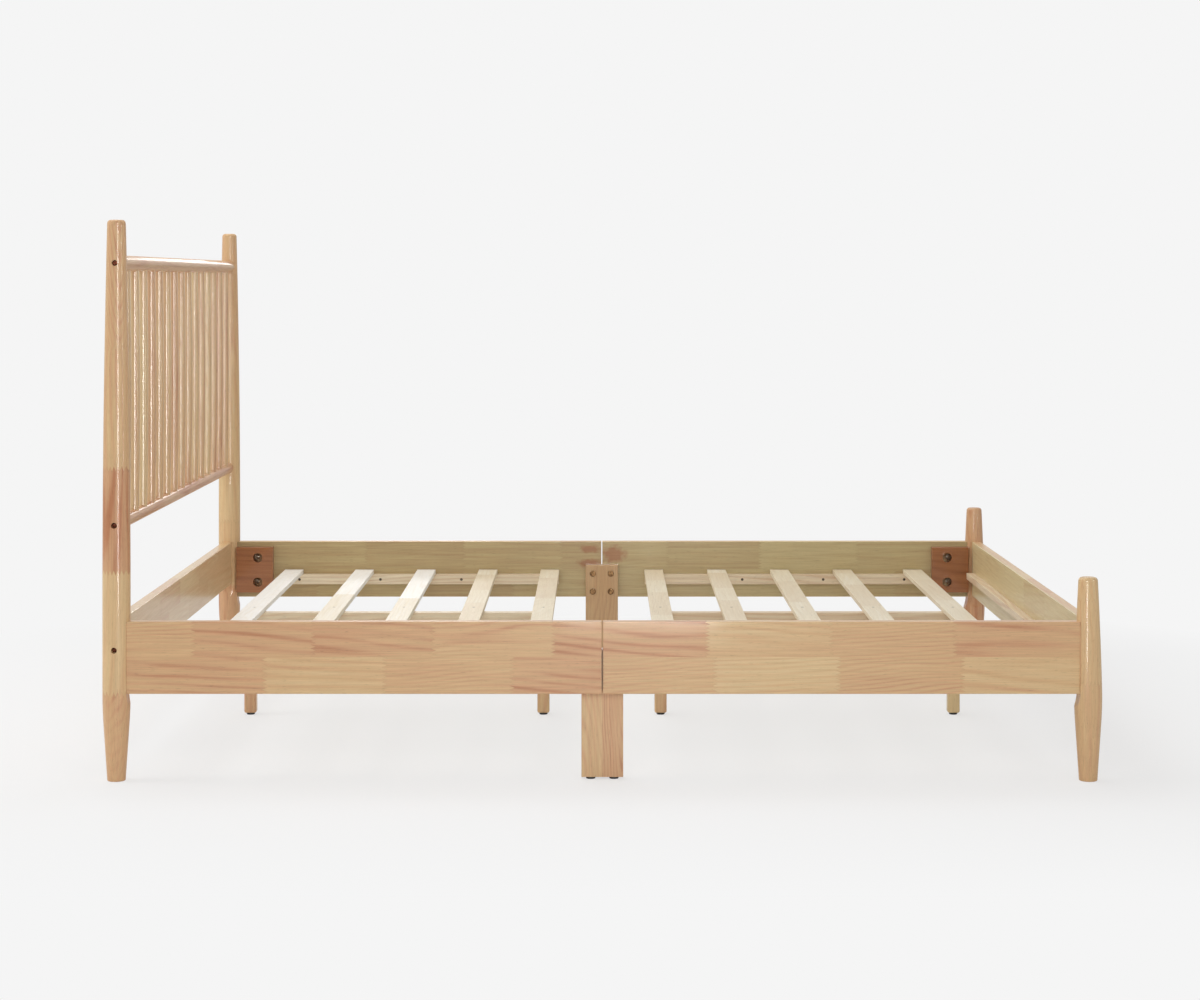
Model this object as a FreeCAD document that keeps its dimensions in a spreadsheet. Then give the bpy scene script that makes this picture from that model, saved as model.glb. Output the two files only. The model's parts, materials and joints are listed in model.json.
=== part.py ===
"""Spindle bed: a knock-down wooden bed frame with a spindle headboard.

Axes: +X runs from the headboard to the foot, +Z up, and +Y to the right-hand side for
someone who stands at the foot and faces the headboard.  The origin lies on the floor,
midway between the four posts.  All sizes are in millimetres.
"""

import FreeCAD, Part
import math
import os
import Sketcher

doc = FreeCAD.newDocument("spindle_bed")


# ---------------------------------------------------------------- driving sizes

SIZES = [
    # overall
    ("post_span_length", 2089, "head post axis to foot post axis"),
    ("post_span_width", 1570, "left post axis to right post axis"),
    # posts
    ("head_post_height", 1205, "floor to the top of a head post"),
    ("foot_post_height", 437, "floor to the top of a foot post"),
    ("post_foot_radius", 19.6, "where a post meets the floor"),
    ("post_taper_radius", 28.5, "top of the straight taper"),
    ("post_taper_top", 135, "height of the straight taper"),
    ("post_belly_radius", 29.8, "the thickest place"),
    ("post_belly_height", 186, "height of the thickest place"),
    ("post_foot_round", 2, "rounding at the floor"),
    ("post_top_round", 8, "rounding at the top"),
    ("head_post_straight_top", 380, "where a head post starts to narrow"),
    ("head_post_top_radius", 19.9, "radius at the top of a head post"),
    ("head_post_tapers", 4, "straight tapers that follow the curve of a head post"),
    ("foot_post_top_radius", 20.8, "radius at the top of a foot post"),
    ("foot_post_upper_arc", 9000, "radius of a foot post's upper outline"),
    ("head_flat", 24, "post axis to a milled flat, head posts"),
    ("foot_flat", 20.5, "post axis to a milled flat, foot posts"),
    ("cutter_clearance", 1, "how far a cutter starts or runs outside a post"),
    ("flat_runout", 60, "cutter radius where a flat runs out"),
    # headboard
    ("top_rail_drop", 93, "top of a head post to the axis of the top rail"),
    ("top_rail_radius", 17, "round section of the top rail"),
    ("lower_rail_height", 550, "floor to the axis of the lower rail"),
    ("lower_rail_radius", 14.5, "round section of the lower rail"),
    ("spindle_count", 15, "spindles between the rails"),
    ("spindle_end_radius", 10, "spindle at the rails"),
    ("spindle_mid_radius", 12.5, "spindle at mid height"),
    ("spindle_neck", 14, "straight stretch at each end of a spindle"),
    ("socket_depth", 9, "blind socket for a spindle in a rail"),
    ("saddle_gap", 0.15, "coped rail end to its post"),
    # boards
    ("rail_top", 343, "floor to the top of the side and end rails"),
    ("side_rail_bottom", 188, "floor to the underside of a side rail"),
    ("head_rail_rise", 38, "underside of a side rail to that of the head end rail"),
    ("foot_rail_rise", 4, "underside of a side rail to that of the foot end rail"),
    ("rail_thickness", 25, "side and end rail boards"),
    ("rail_inset", 9, "post axis to the inner face of a rail"),
    ("rail_arris", 2, "eased edge of a rail"),
    ("seam_gap", 3, "gap between the two halves of a side rail"),
    # corner blocks
    ("block_length", 102, "corner block along the rail"),
    ("block_thickness", 25, "corner block off the rail"),
    ("block_rise", 15, "underside of a side rail to that of a corner block"),
    ("block_drop", 14, "top of a side rail to that of a corner block"),
    ("block_arris", 1.5, "eased edge of a corner block"),
    ("pocket_distance", 60, "post flat to the centre of a pocket"),
    ("pocket_radius", 13, "bored pocket for the nut"),
    ("pocket_floor", 7.5, "rail's inner face to the floor of a pocket"),
    ("pocket_margin", 29, "a corner block's top or underside to a pocket's centre"),
    # centre planks
    ("plank_width", 90, "centre plank along the bed"),
    ("plank_thickness", 25, "centre plank off the rail"),
    ("plank_rise", 92, "underside of a side rail to the top of a centre plank"),
    ("plank_arris", 1.5, "eased edge of a centre plank"),
    ("plank_bolt_spacing", 50, "bolt pattern, both ways"),
    ("plank_bolt_rise", 18, "underside of a side rail to the lower plank bolts"),
    # slats and what carries them
    ("slat_width", 52, "slat along the bed"),
    ("slat_thickness", 12, "slat"),
    ("slat_top", 265, "floor to the top of the slats"),
    ("slat_arris", 1.5, "eased edge of a slat"),
    ("slat_end_gap", 4, "slat end to the side rail"),
    ("ledger_inner_end", 120, "bed's middle to the near end of a side ledger"),
    ("ledger_outer_gap", 28.5, "corner block at the head to the far end of a side ledger"),
    ("ledger_height", 27, "side ledger"),
    ("ledger_thickness", 25, "side ledger off the rail"),
    ("ledger_arris", 1, "eased edge of a ledger"),
    ("ledger_screw_margin", 46, "ledger end to its first screw"),
    ("ledger_screws", 4, "screws in a ledger"),
    ("foot_ledger_gap", 37, "corner block to the end of the foot ledger, across the bed"),
    ("foot_ledger_height", 17, "foot ledger"),
    ("foot_ledger_width", 23, "foot ledger off the foot end rail"),
    ("foot_ledger_top", 262, "floor to the top of the foot ledger"),
    ("beam_width", 30, "centre beam across the bed"),
    ("beam_height", 40, "centre beam"),
    ("beam_overhang", 6, "centre beam past the legs at its ends"),
    ("leg_width", 30, "centre leg, square section"),
    ("leg_round", 6, "rounded corner of a centre leg"),
    ("leg_foot_round", 4, "rounding at the foot of a centre leg"),
    ("leg_margin", 20, "far end of a side ledger to the outer centre leg, along the bed"),
    ("slats_per_ledger", 5, "slats on one pair of side ledgers"),
    ("slat_inner_margin", 25, "near end of a side ledger to the first slat's middle"),
    ("slat_head_margin", 29, "far end of a ledger at the head to the last slat's middle"),
    ("slat_foot_margin", 21, "far end of a ledger at the foot to the last slat's middle"),
    ("slat_last_pitch", 197, "between the last two slats of a ledger, which are further apart"),
    # floor pads
    ("pad_radius", 10, "floor pad"),
    ("pad_thickness", 5, "floor pad"),
    ("pad_round", 1.5, "rounded lower edge of a floor pad"),
    ("pad_nail_radius", 1.5, "nail of a floor pad"),
    ("pad_nail_length", 12, "nail of a floor pad"),
    ("plank_pad_spacing", 50, "between the two pads of a plank"),
    # hanger bolts, washers and nuts at the corners
    ("hanger_radius", 4, "hanger bolt"),
    ("hanger_offset", 10, "post axis to the hanger bolts, towards the inside"),
    ("hanger_embed", 34, "hanger bolt inside the post"),
    ("hanger_tip", 6, "pointed end of a hanger bolt"),
    ("hanger_overrun", 2, "hanger bolt past its nut"),
    ("washer_depth", 5.5, "half-moon washer along the bolt"),
    ("washer_width", 14, "half-moon washer across the bolt"),
    ("nut_flats", 13, "nut across its flats"),
    ("nut_length", 6.5, "nut along the bolt"),
    ("leg_bolt_length", 60, "bolt between a leg and its beam"),
    ("leg_bolt_in_beam", 20, "share of the leg bolt inside the beam"),
    # machine bolts and inserts
    ("bolt_radius", 3, "shank of the headboard and plank bolts"),
    ("socket_flats", 4, "hex socket of a bolt across its flats"),
    ("socket_recess", 2.2, "depth of a hex socket"),
    ("post_bolt_seat", 14, "post axis to the seat of a headboard bolt's head"),
    ("post_bolt_length", 58, "headboard bolt under its head"),
    ("post_bolt_head_radius", 5.5, "headboard bolt"),
    ("post_bolt_head_height", 4, "headboard bolt"),
    ("post_bolt_recess_gap", 0.9, "bolt head to the wall of its recess in the post"),
    ("end_rail_bolt_drop", 17, "upper hanger bolts to the bolt of the head end rail"),
    ("plank_bolt_length", 38, "plank bolt under its head"),
    ("plank_bolt_head_radius", 8.5, "plank bolt"),
    ("plank_bolt_head_height", 3.2, "plank bolt"),
    ("insert_radius", 5, "threaded insert"),
    ("insert_length", 15, "threaded insert"),
    ("insert_recess", 1, "threaded insert below the surface"),
    # dowels and screws
    ("dowel_radius", 5, "foot rail dowel"),
    ("dowel_length", 40, "foot rail dowel"),
    ("dowel_bevel", 1, "bevelled end of a dowel"),
    ("dowel_margin", 20, "hanger bolts to the dowels above and below them"),
    ("screw_radius", 2, "wood screw"),
    ("screw_head_radius", 4, "wood screw"),
    ("ledger_screw_length", 38, "wood screw through a ledger"),
    ("slat_screw_length", 28, "wood screw through a slat"),
    ("screw_tip", 5, "pointed end of a wood screw"),
    ("screw_slot_width", 1.1, "cross recess of a wood screw"),
    ("screw_slot_depth", 1.2, "cross recess of a wood screw"),
    # fits
    ("fit_gap", 0.1, "all round between a fastener, tenon or dowel and its hole"),
    ("end_gap", 0.25, "at the blind end of a hole"),
]

sheet = doc.addObject("Spreadsheet::Sheet", "Sizes")
for row, (alias, amount, meaning) in enumerate(SIZES, start=1):
    sheet.set(f"A{row}", alias)
    sheet.set(f"B{row}", str(amount))
    sheet.set(f"C{row}", meaning)
    sheet.setAlias(f"B{row}", alias)
doc.recompute()


class Size:
    """A length held both as a number and as the text of an expression on the sheet."""

    def __init__(self, number, text):
        self.number = float(number)
        self.text = text

    def __add__(self, other):
        other = as_size(other)
        return Size(self.number + other.number, f"({self.text} + {other.text})")

    def __sub__(self, other):
        other = as_size(other)
        return Size(self.number - other.number, f"({self.text} - {other.text})")

    def __mul__(self, other):
        other = as_size(other)
        return Size(self.number * other.number, f"({self.text} * {other.text})")

    def __truediv__(self, other):
        other = as_size(other)
        return Size(self.number / other.number, f"({self.text} / {other.text})")

    def __rmul__(self, other):
        return as_size(other) * self

    def __rsub__(self, other):
        return as_size(other) - self

    def __neg__(self):
        return Size(-self.number, f"(0 - {self.text})")

    def root(self):
        return Size(math.sqrt(self.number), f"sqrt({self.text})")


def as_size(amount):
    """Turns a plain count or factor into a Size."""
    return amount if isinstance(amount, Size) else Size(amount, f"{amount}")


def size(alias):
    """The Size of one cell of the sheet."""
    return Size(sheet.get(alias), f"Sizes.{alias}")


ZERO = as_size(0)


def bind(thing, path, amount):
    """Binds a property of a document object to an expression on the sheet."""
    thing.setExpression(path, as_size(amount).text)


def place(thing, x=ZERO, y=ZERO, z=ZERO, turn=None):
    """Binds where a sub-part stands, and sets how it is turned."""
    if turn is not None:
        thing.Placement = FreeCAD.Placement(FreeCAD.Vector(), turn)
    bind(thing, "Placement.Base.x", x)
    bind(thing, "Placement.Base.y", y)
    bind(thing, "Placement.Base.z", z)


# ---------------------------------------------------------------- modelling helpers

# The plane square to each axis, and the side that its normal points to.
PLANES = {"X": ("YZ_Plane", 1), "Y": ("XZ_Plane", -1), "Z": ("XY_Plane", 1)}
DIRECTIONS = {"X": FreeCAD.Vector(1, 0, 0), "Y": FreeCAD.Vector(0, 1, 0), "Z": FreeCAD.Vector(0, 0, 1)}
HALF_TURN = FreeCAD.Rotation(DIRECTIONS["Z"], 180)


def new_body(label):
    """An empty body whose label is the name of the piece."""
    body = doc.addObject("PartDesign::Body", label)
    body.Label = label
    return body


def new_sketch(body, name, axis, at=ZERO):
    """A sketch square to an axis of the body, at a distance along that axis."""
    role, side = PLANES[axis]
    plane = next(item for item in body.Origin.OriginFeatures if item.Role == role)
    sketch = body.newObject("Sketcher::SketchObject", f"{body.Name}_{name}")
    sketch.AttachmentSupport = [(plane, "")]
    sketch.MapMode = "FlatFace"
    bind(sketch, "AttachmentOffset.Base.z", at if side > 0 else -at)
    return sketch


def constrain(sketch, kind, *target, amount):
    """Adds a constraint whose value is bound to the sheet."""
    index = sketch.addConstraint(Sketcher.Constraint(kind, *target, amount.number))
    sketch.setExpression(f"Constraints[{index}]", amount.text)


def pin(sketch, element, end, across, up):
    """Fixes one end of a sketch element at a point."""
    constrain(sketch, "DistanceX", -1, 1, element, end, amount=across)
    constrain(sketch, "DistanceY", -1, 1, element, end, amount=up)


def add_arc(sketch, start, end, radius, centre_on_left):
    """Adds the short arc between two points, and returns it with its first and last end."""
    chord = end - start
    middle = (start + end) * 0.5
    leftwards = FreeCAD.Vector(-chord.y, chord.x, 0).normalize()
    reach = math.sqrt(max(radius.number**2 - chord.Length**2 / 4, 0))
    centre = middle + leftwards * (reach if centre_on_left else -reach)
    first, last = (start, end) if centre_on_left else (end, start)
    from_angle = math.atan2(first.y - centre.y, first.x - centre.x)
    to_angle = math.atan2(last.y - centre.y, last.x - centre.x)
    if to_angle < from_angle:
        to_angle += 2 * math.pi
    circle = Part.Circle(centre, DIRECTIONS["Z"], radius.number)
    element = sketch.addGeometry(Part.ArcOfCircle(circle, from_angle, to_angle), False)
    constrain(sketch, "Radius", element, amount=radius)
    return (element, 1, 2) if centre_on_left else (element, 2, 1)


def add_outline(sketch, corners, arcs=None):
    """Adds a closed outline through corner points.

    arcs holds, for the side that starts at a corner, its radius and whether the arc's
    centre lies to the left of the way round.  The other sides are straight.
    """
    arcs = arcs or {}
    points = [FreeCAD.Vector(across.number, up.number, 0) for across, up in corners]
    sides = []
    for index, start in enumerate(points):
        end = points[(index + 1) % len(points)]
        if index in arcs:
            sides.append(add_arc(sketch, start, end, *arcs[index]))
        else:
            sides.append((sketch.addGeometry(Part.LineSegment(start, end), False), 1, 2))
    for index, (element, first, last) in enumerate(sides):
        after, after_first, _ = sides[(index + 1) % len(sides)]
        sketch.addConstraint(Sketcher.Constraint("Coincident", element, last, after, after_first))
        pin(sketch, element, first, *corners[index])


def add_rectangle(sketch, left, right, low, high):
    """Adds a rectangle between four limits."""
    add_outline(sketch, [(left, low), (right, low), (right, high), (left, high)])


def add_circle(sketch, across, up, radius):
    """Adds a circle."""
    centre = FreeCAD.Vector(across.number, up.number, 0)
    element = sketch.addGeometry(Part.Circle(centre, DIRECTIONS["Z"], radius.number), False)
    pin(sketch, element, 3, across, up)
    constrain(sketch, "Radius", element, amount=radius)


def add_hexagon(sketch, flats):
    """Adds a regular hexagon, corner up, about the origin from its size across the flats."""
    corner = flats / math.sqrt(3)
    side = flats / 2
    add_outline(
        sketch,
        [
            (ZERO, corner),
            (-side, corner / 2),
            (-side, -corner / 2),
            (ZERO, -corner),
            (side, -corner / 2),
            (side, corner / 2),
        ],
    )


def add_feature(body, kind, name):
    """Adds a feature at the body's tip."""
    return body.newObject(f"PartDesign::{kind}", f"{body.Name}_{name}")


def pad(body, name, sketch, axis, towards, length):
    """Raises a sketch by a length, towards the plus or minus side of an axis."""
    feature = add_feature(body, "Pad", name)
    feature.Profile = sketch
    feature.Reversed = towards != PLANES[axis][1]
    bind(feature, "Length", length)
    doc.recompute()
    return feature


def cut(body, name, sketch, axis, towards, depth, both_ways=False):
    """Sinks a sketch into the body, and makes sure that it took material away."""
    before = body.Shape.Volume
    feature = add_feature(body, "Pocket", name)
    feature.Profile = sketch
    feature.Reversed = towards == PLANES[axis][1]
    feature.Midplane = both_ways
    bind(feature, "Length", depth)
    doc.recompute()
    if not body.Shape.Volume < before:
        raise RuntimeError(f"{feature.Name} cuts nothing")
    return feature


def bore(body, name, axis, towards, start, across, up, radius, depth):
    """Bores a round hole from a place on an axis, towards its plus or minus side."""
    sketch = new_sketch(body, f"{name}_sketch", axis, start)
    add_circle(sketch, across, up, radius)
    return cut(body, name, sketch, axis, towards, depth)


def turn_profile(body, corners, arcs=None):
    """Turns an outline of radius and height about the body's upright axis."""
    sketch = new_sketch(body, "outline", "Y")
    add_outline(sketch, corners, arcs)
    feature = add_feature(body, "Revolution", "turning")
    feature.Profile = sketch
    feature.ReferenceAxis = (sketch, ["V_Axis"])
    feature.Angle = 360
    doc.recompute()
    return feature


def straight_edges(shape, axis):
    """Names of the straight edges that run along an axis."""
    names = []
    for index, edge in enumerate(shape.Edges, start=1):
        if isinstance(edge.Curve, Part.Line) and abs(edge.Curve.Direction.dot(DIRECTIONS[axis])) > 0.999:
            names.append(f"Edge{index}")
    return names


def hole_mouths(shape, radius, axis, at):
    """Names of the circular edges of one radius that lie at a place on an axis."""
    names = []
    for index, edge in enumerate(shape.Edges, start=1):
        curve = edge.Curve
        if not isinstance(curve, Part.Circle) or abs(curve.Radius - radius.number) > 1e-6:
            continue
        if abs(edge.CenterOfMass.dot(DIRECTIONS[axis]) - at.number) < 1e-6:
            names.append(f"Edge{index}")
    return names


def ease_edges(body, name, feature, edges, radius):
    """Rounds edges of the body's last feature."""
    fillet = add_feature(body, "Fillet", name)
    fillet.Base = (feature, edges)
    bind(fillet, "Radius", radius)
    doc.recompute()
    return fillet


def countersink(body, feature, axis, at):
    """Bevels the mouths of a body's screw holes so that a screw's head lies flush."""
    chamfer = add_feature(body, "Chamfer", "countersink")
    chamfer.Base = (feature, hole_mouths(feature.Shape, screw_hole_radius, axis, at))
    bind(chamfer, "Size", size("screw_head_radius") - size("screw_radius"))
    doc.recompute()
    return chamfer


def board(label, axis, start, towards, length, left, right, low, high, arris):
    """A plank along an axis with its long edges eased.

    left and right are its limits across, low and high its limits upwards.
    """
    body = new_body(label)
    sketch = new_sketch(body, "section", axis, start)
    add_rectangle(sketch, left, right, low, high)
    blank = pad(body, "blank", sketch, axis, towards, length)
    ease_edges(body, "arris", blank, straight_edges(blank.Shape, axis), arris)
    return body


def between(near, far, towards):
    """Two limits measured towards one side of an axis, in rising order."""
    return (near, far) if towards > 0 else (-far, -near)


def pointing(direction):
    """The turn that lays an upright piece along a direction."""
    return FreeCAD.Rotation(DIRECTIONS["Z"], direction)


def group(label, pattern_piece, places):
    """Copies of one piece at several places, as separate solids of one sub-part."""
    copies = []
    for index, (x, y, z, turn) in enumerate(places, start=1):
        copy = doc.addObject("App::Link", f"{label}_{index}")
        copy.setLink(pattern_piece)
        place(copy, x, y, z, turn)
        copies.append(copy)
    compound = doc.addObject("Part::Compound", label)
    compound.Label = label
    compound.Links = copies
    doc.recompute()
    return compound


SUB_PARTS = []

# Where the four corners of the bed stand: name, end, way to the middle along X and along Y.
CORNERS = [
    ("head", "left", 1, 1),
    ("head", "right", 1, -1),
    ("foot", "left", -1, 1),
    ("foot", "right", -1, -1),
]


# ---------------------------------------------------------------- sizes worked out

half_length = size("post_span_length") / 2
half_width = size("post_span_width") / 2
flat_depth = {"head": size("head_flat"), "foot": size("foot_flat")}
post_height = {"head": size("head_post_height"), "foot": size("foot_post_height")}
rail_inset = size("rail_inset")
rail_outset = size("rail_thickness") - rail_inset
top_rail_height = size("head_post_height") - size("top_rail_drop")
rail_bottom = {
    "head": size("side_rail_bottom") + size("head_rail_rise"),
    "foot": size("side_rail_bottom") + size("foot_rail_rise"),
}
block_bottom = size("side_rail_bottom") + size("block_rise")
block_top = size("rail_top") - size("block_drop")
pocket_heights = [block_bottom + size("pocket_margin"), block_top - size("pocket_margin")]
end_rail_bolt_height = pocket_heights[1] - size("end_rail_bolt_drop")
dowel_heights = [pocket_heights[0] - size("dowel_margin"), pocket_heights[1] + size("dowel_margin")]
fit_gap = size("fit_gap")
block_face = rail_inset + size("block_thickness")
slat_underside = size("slat_top") - size("slat_thickness")
bolt_hole_radius = size("bolt_radius") + fit_gap
hanger_hole_radius = size("hanger_radius") + fit_gap
screw_hole_radius = size("screw_radius") + fit_gap
insert_hole_depth = size("insert_recess") + size("insert_length")
plank_top = size("side_rail_bottom") + size("plank_rise")
plank_bolt_low = size("side_rail_bottom") + size("plank_bolt_rise")
plank_bolt_heights = [plank_bolt_low, plank_bolt_low + size("plank_bolt_spacing")]
ledger_outer_end = half_length - size("head_flat") - size("block_length") - size("ledger_outer_gap")
ledger_length = ledger_outer_end - size("ledger_inner_end")
ledger_pitch = (ledger_length - 2 * size("ledger_screw_margin")) / (size("ledger_screws") - 1)
beam_underside = slat_underside - size("beam_height")


def tangent_arc(run, rise):
    """Radius of the arc that leaves upright and moves sideways by run over a rise."""
    return (rise * rise + run * run) / (2 * run)


belly_swell = tangent_arc(
    size("post_belly_radius") - size("post_taper_radius"),
    size("post_belly_height") - size("post_taper_top"),
)
head_narrowing_rise = size("head_post_height") - size("post_top_round") - size("head_post_straight_top")
head_narrowing = tangent_arc(size("post_belly_radius") - size("head_post_top_radius"), head_narrowing_rise)


def head_post_radius(height):
    """Radius of a head post at a height on its narrowing upper part."""
    above = height - size("head_post_straight_top")
    sag = head_narrowing - (head_narrowing * head_narrowing - above * above).root()
    return size("post_belly_radius") - sag


top_saddle = head_post_radius(top_rail_height - size("top_rail_radius")) + size("saddle_gap")
lower_saddle = head_post_radius(size("lower_rail_height") - size("lower_rail_radius")) + size("saddle_gap")


# ---------------------------------------------------------------- posts


def post_outline(end):
    """Outline of a post from its axis: radius and height of each corner, and the arcs."""
    foot_round = size("post_foot_round")
    top_round = size("post_top_round")
    height = post_height[end]
    belly = (size("post_belly_radius"), size("post_belly_height"))
    corners = [
        (ZERO, ZERO),
        (size("post_foot_radius") - foot_round, ZERO),
        (size("post_foot_radius"), foot_round),
        (size("post_taper_radius"), size("post_taper_top")),
        belly,
    ]
    arcs = {1: (foot_round, True), 3: (belly_swell, True)}
    if end == "head":
        top_radius = size("head_post_top_radius")
        tapers = int(size("head_post_tapers").number)
        for index in range(tapers):
            level = size("head_post_straight_top") + head_narrowing_rise * index / size("head_post_tapers")
            corners.append((head_post_radius(level), level))
    else:
        top_radius = size("foot_post_top_radius")
        arcs[4] = (size("foot_post_upper_arc"), True)
    arcs[len(corners)] = (top_round, True)
    corners.append((top_radius, height - top_round))
    corners.append((top_radius - top_round, height))
    corners.append((ZERO, height))
    return corners, arcs


def mill_flat(body, name, axis, towards, flat, low):
    """Mills the flat that a rail's end lands on, with a curved run-out below it.

    axis is the axis along which the cutter passes; the flat faces sideways from it.
    """
    outer = size("post_belly_radius") + size("cutter_clearance")
    runout = size("flat_runout")
    reach = runout - (outer - flat)
    drop = (runout * runout - reach * reach).root()
    sketch = new_sketch(body, f"{name}_sketch", axis)
    corners = [
        (towards * flat, size("rail_top")),
        (towards * flat, low),
        (towards * outer, low - drop),
        (towards * outer, size("rail_top")),
    ]
    add_outline(sketch, corners, {1: (runout, towards > 0)})
    cut(body, name, sketch, axis, 1, outer * 2, both_ways=True)


def bore_headboard_bolt(body, name, height, inwards):
    """Bores a headboard bolt's recess from outside a head post, and its way through."""
    outside = size("post_belly_radius") + size("cutter_clearance")
    recess = size("post_bolt_head_radius") + size("post_bolt_recess_gap")
    bore(
        body, f"{name}_recess", "Y", inwards, -inwards * outside, ZERO, height, recess,
        outside - size("post_bolt_seat"),
    )
    bore(body, f"{name}_way", "Y", inwards, -inwards * outside, ZERO, height, bolt_hole_radius, outside * 2)


def make_post(end, side, along, inwards):
    """One turned post with its flats and its holes."""
    body = new_body(f"{end}_post_{side}")
    turn_profile(body, *post_outline(end))
    flat = flat_depth[end]
    mill_flat(body, "side_flat", "Y", along, flat, size("side_rail_bottom"))
    mill_flat(body, "end_flat", "X", inwards, flat, rail_bottom[end])
    for index, height in enumerate(pocket_heights, start=1):
        bore(
            body, f"hanger_{index}", "X", -along, along * flat, inwards * size("hanger_offset"), height,
            hanger_hole_radius, size("hanger_embed") + size("end_gap"),
        )
    if end == "head":
        bore_headboard_bolt(body, "top_bolt", top_rail_height, inwards)
        bore_headboard_bolt(body, "lower_bolt", size("lower_rail_height"), inwards)
        bore_headboard_bolt(body, "end_bolt", end_rail_bolt_height, inwards)
    else:
        for index, height in enumerate(dowel_heights, start=1):
            bore(
                body, f"dowel_{index}", "Y", -inwards, inwards * flat, ZERO, height,
                size("dowel_radius") + fit_gap, size("dowel_length") / 2 + size("end_gap"),
            )
    place(body, -along * half_length, -inwards * half_width)
    SUB_PARTS.append(body)


for corner in CORNERS:
    make_post(*corner)


# ---------------------------------------------------------------- headboard

spindle_pitch = size("post_span_width") / (size("spindle_count") + 1)
spindle_low = size("lower_rail_height") + size("lower_rail_radius") - size("socket_depth")
spindle_high = top_rail_height - size("top_rail_radius") + size("socket_depth")


def bore_rail_end(body, name, inwards, end, seat, height=ZERO):
    """Bores a rail's end for a headboard bolt and its insert.

    end and seat are the distances from the post's axis to where the boring starts and to
    the wood around the insert.
    """
    start = -inwards * (half_width - end)
    insert_hole = seat - end + insert_hole_depth
    bolt_hole = size("post_bolt_length") - size("post_bolt_seat") - end + size("insert_recess")
    radius = size("insert_radius") + fit_gap
    bore(body, f"{name}_insert", "Y", inwards, start, ZERO, height, radius, insert_hole)
    if bolt_hole.number > insert_hole.number:
        bore(body, f"{name}_bolt", "Y", inwards, start, ZERO, height, bolt_hole_radius, bolt_hole)


def make_round_rail(label, height, radius, saddle, socket_side):
    """A round rail, coped to the posts, with a row of spindle sockets on one side."""
    body = new_body(label)
    reach = (saddle * saddle - radius * radius).root() - size("saddle_gap")
    length = size("post_span_width") - 2 * reach
    section = new_sketch(body, "section", "Y", -length / 2)
    add_circle(section, ZERO, ZERO, radius)
    pad(body, "blank", section, "Y", 1, length)
    for name, inwards in (("left", 1), ("right", -1)):
        cope = new_sketch(body, f"{name}_cope_sketch", "Z")
        add_circle(cope, ZERO, -inwards * half_width, saddle)
        cut(body, f"{name}_cope", cope, "Z", 1, radius * 4, both_ways=True)
        bore_rail_end(body, name, inwards, reach, saddle)
    sockets = new_sketch(body, "socket_sketch", "Z", socket_side * radius)
    first = -spindle_pitch * (size("spindle_count") - 1) / 2
    add_circle(sockets, ZERO, first, size("spindle_end_radius") + fit_gap)
    socket = cut(body, "socket", sockets, "Z", -socket_side, size("socket_depth"))
    row = add_feature(body, "LinearPattern", "socket_row")
    row.Originals = [socket]
    row.Direction = (sockets, ["V_Axis"])
    bind(row, "Length", spindle_pitch * (size("spindle_count") - 1))
    bind(row, "Occurrences", size("spindle_count"))
    body.Tip = row
    doc.recompute()
    place(body, -half_length, ZERO, height)
    SUB_PARTS.append(body)


make_round_rail("headboard_top_rail", top_rail_height, size("top_rail_radius"), top_saddle, -1)
make_round_rail("headboard_lower_rail", size("lower_rail_height"), size("lower_rail_radius"), lower_saddle, 1)


def barrel_arc(swell, half_height):
    """Radius of the arc that swells by so much halfway up."""
    return (half_height * half_height + swell * swell) / (2 * swell)


def make_spindle(number):
    """One barrel-shaped spindle whose plain ends stand in the rails' sockets."""
    body = new_body(f"spindle_{number:02d}")
    length = spindle_high - spindle_low - size("end_gap")
    end_radius = size("spindle_end_radius")
    swell = size("spindle_mid_radius") - end_radius
    neck = size("spindle_neck")
    corners = [
        (ZERO, ZERO),
        (end_radius, ZERO),
        (end_radius, neck),
        (end_radius, length - neck),
        (end_radius, length),
        (ZERO, length),
    ]
    turn_profile(body, corners, {2: (barrel_arc(swell, length / 2 - neck), True)})
    middle_number = (size("spindle_count") + 1) / 2
    place(body, -half_length, spindle_pitch * (number - middle_number), spindle_low)
    SUB_PARTS.append(body)


for number in range(1, int(size("spindle_count").number) + 1):
    make_spindle(number)


# ---------------------------------------------------------------- end rails

head_rail_length = size("post_span_width") - 2 * size("head_flat")
foot_rail_length = size("post_span_width") - 2 * size("foot_flat")


def end_rail_blank(end, along, length):
    """The board between the two posts of one end, in the frame of that end's middle."""
    inner, outer = between(-rail_outset, rail_inset, along)
    body = board(
        f"{end}_end_rail", "Y", -length / 2, 1, length, inner, outer,
        rail_bottom[end], size("rail_top"), size("rail_arris"),
    )
    place(body, -along * half_length)
    SUB_PARTS.append(body)
    return body


head_end_rail = end_rail_blank("head", 1, head_rail_length)
foot_end_rail = end_rail_blank("foot", -1, foot_rail_length)
for side, inwards in (("left", 1), ("right", -1)):
    bore_rail_end(
        head_end_rail, side, inwards, size("head_flat"), size("head_flat"), end_rail_bolt_height
    )
    for index, height in enumerate(dowel_heights, start=1):
        bore(
            foot_end_rail, f"{side}_dowel_{index}", "Y", inwards, -inwards * foot_rail_length / 2, ZERO,
            height, size("dowel_radius") + fit_gap, size("dowel_length") / 2 + size("end_gap"),
        )

foot_ledger_length = 2 * (half_width - block_face - size("foot_ledger_gap"))
foot_ledger = board(
    "foot_ledger", "Y", -foot_ledger_length / 2, 1, foot_ledger_length,
    -size("foot_ledger_width"), ZERO, -size("foot_ledger_height"), ZERO, size("ledger_arris"),
)
place(foot_ledger, half_length - rail_inset, ZERO, size("foot_ledger_top"))
SUB_PARTS.append(foot_ledger)


# ---------------------------------------------------------------- side rails and corner blocks


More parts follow.
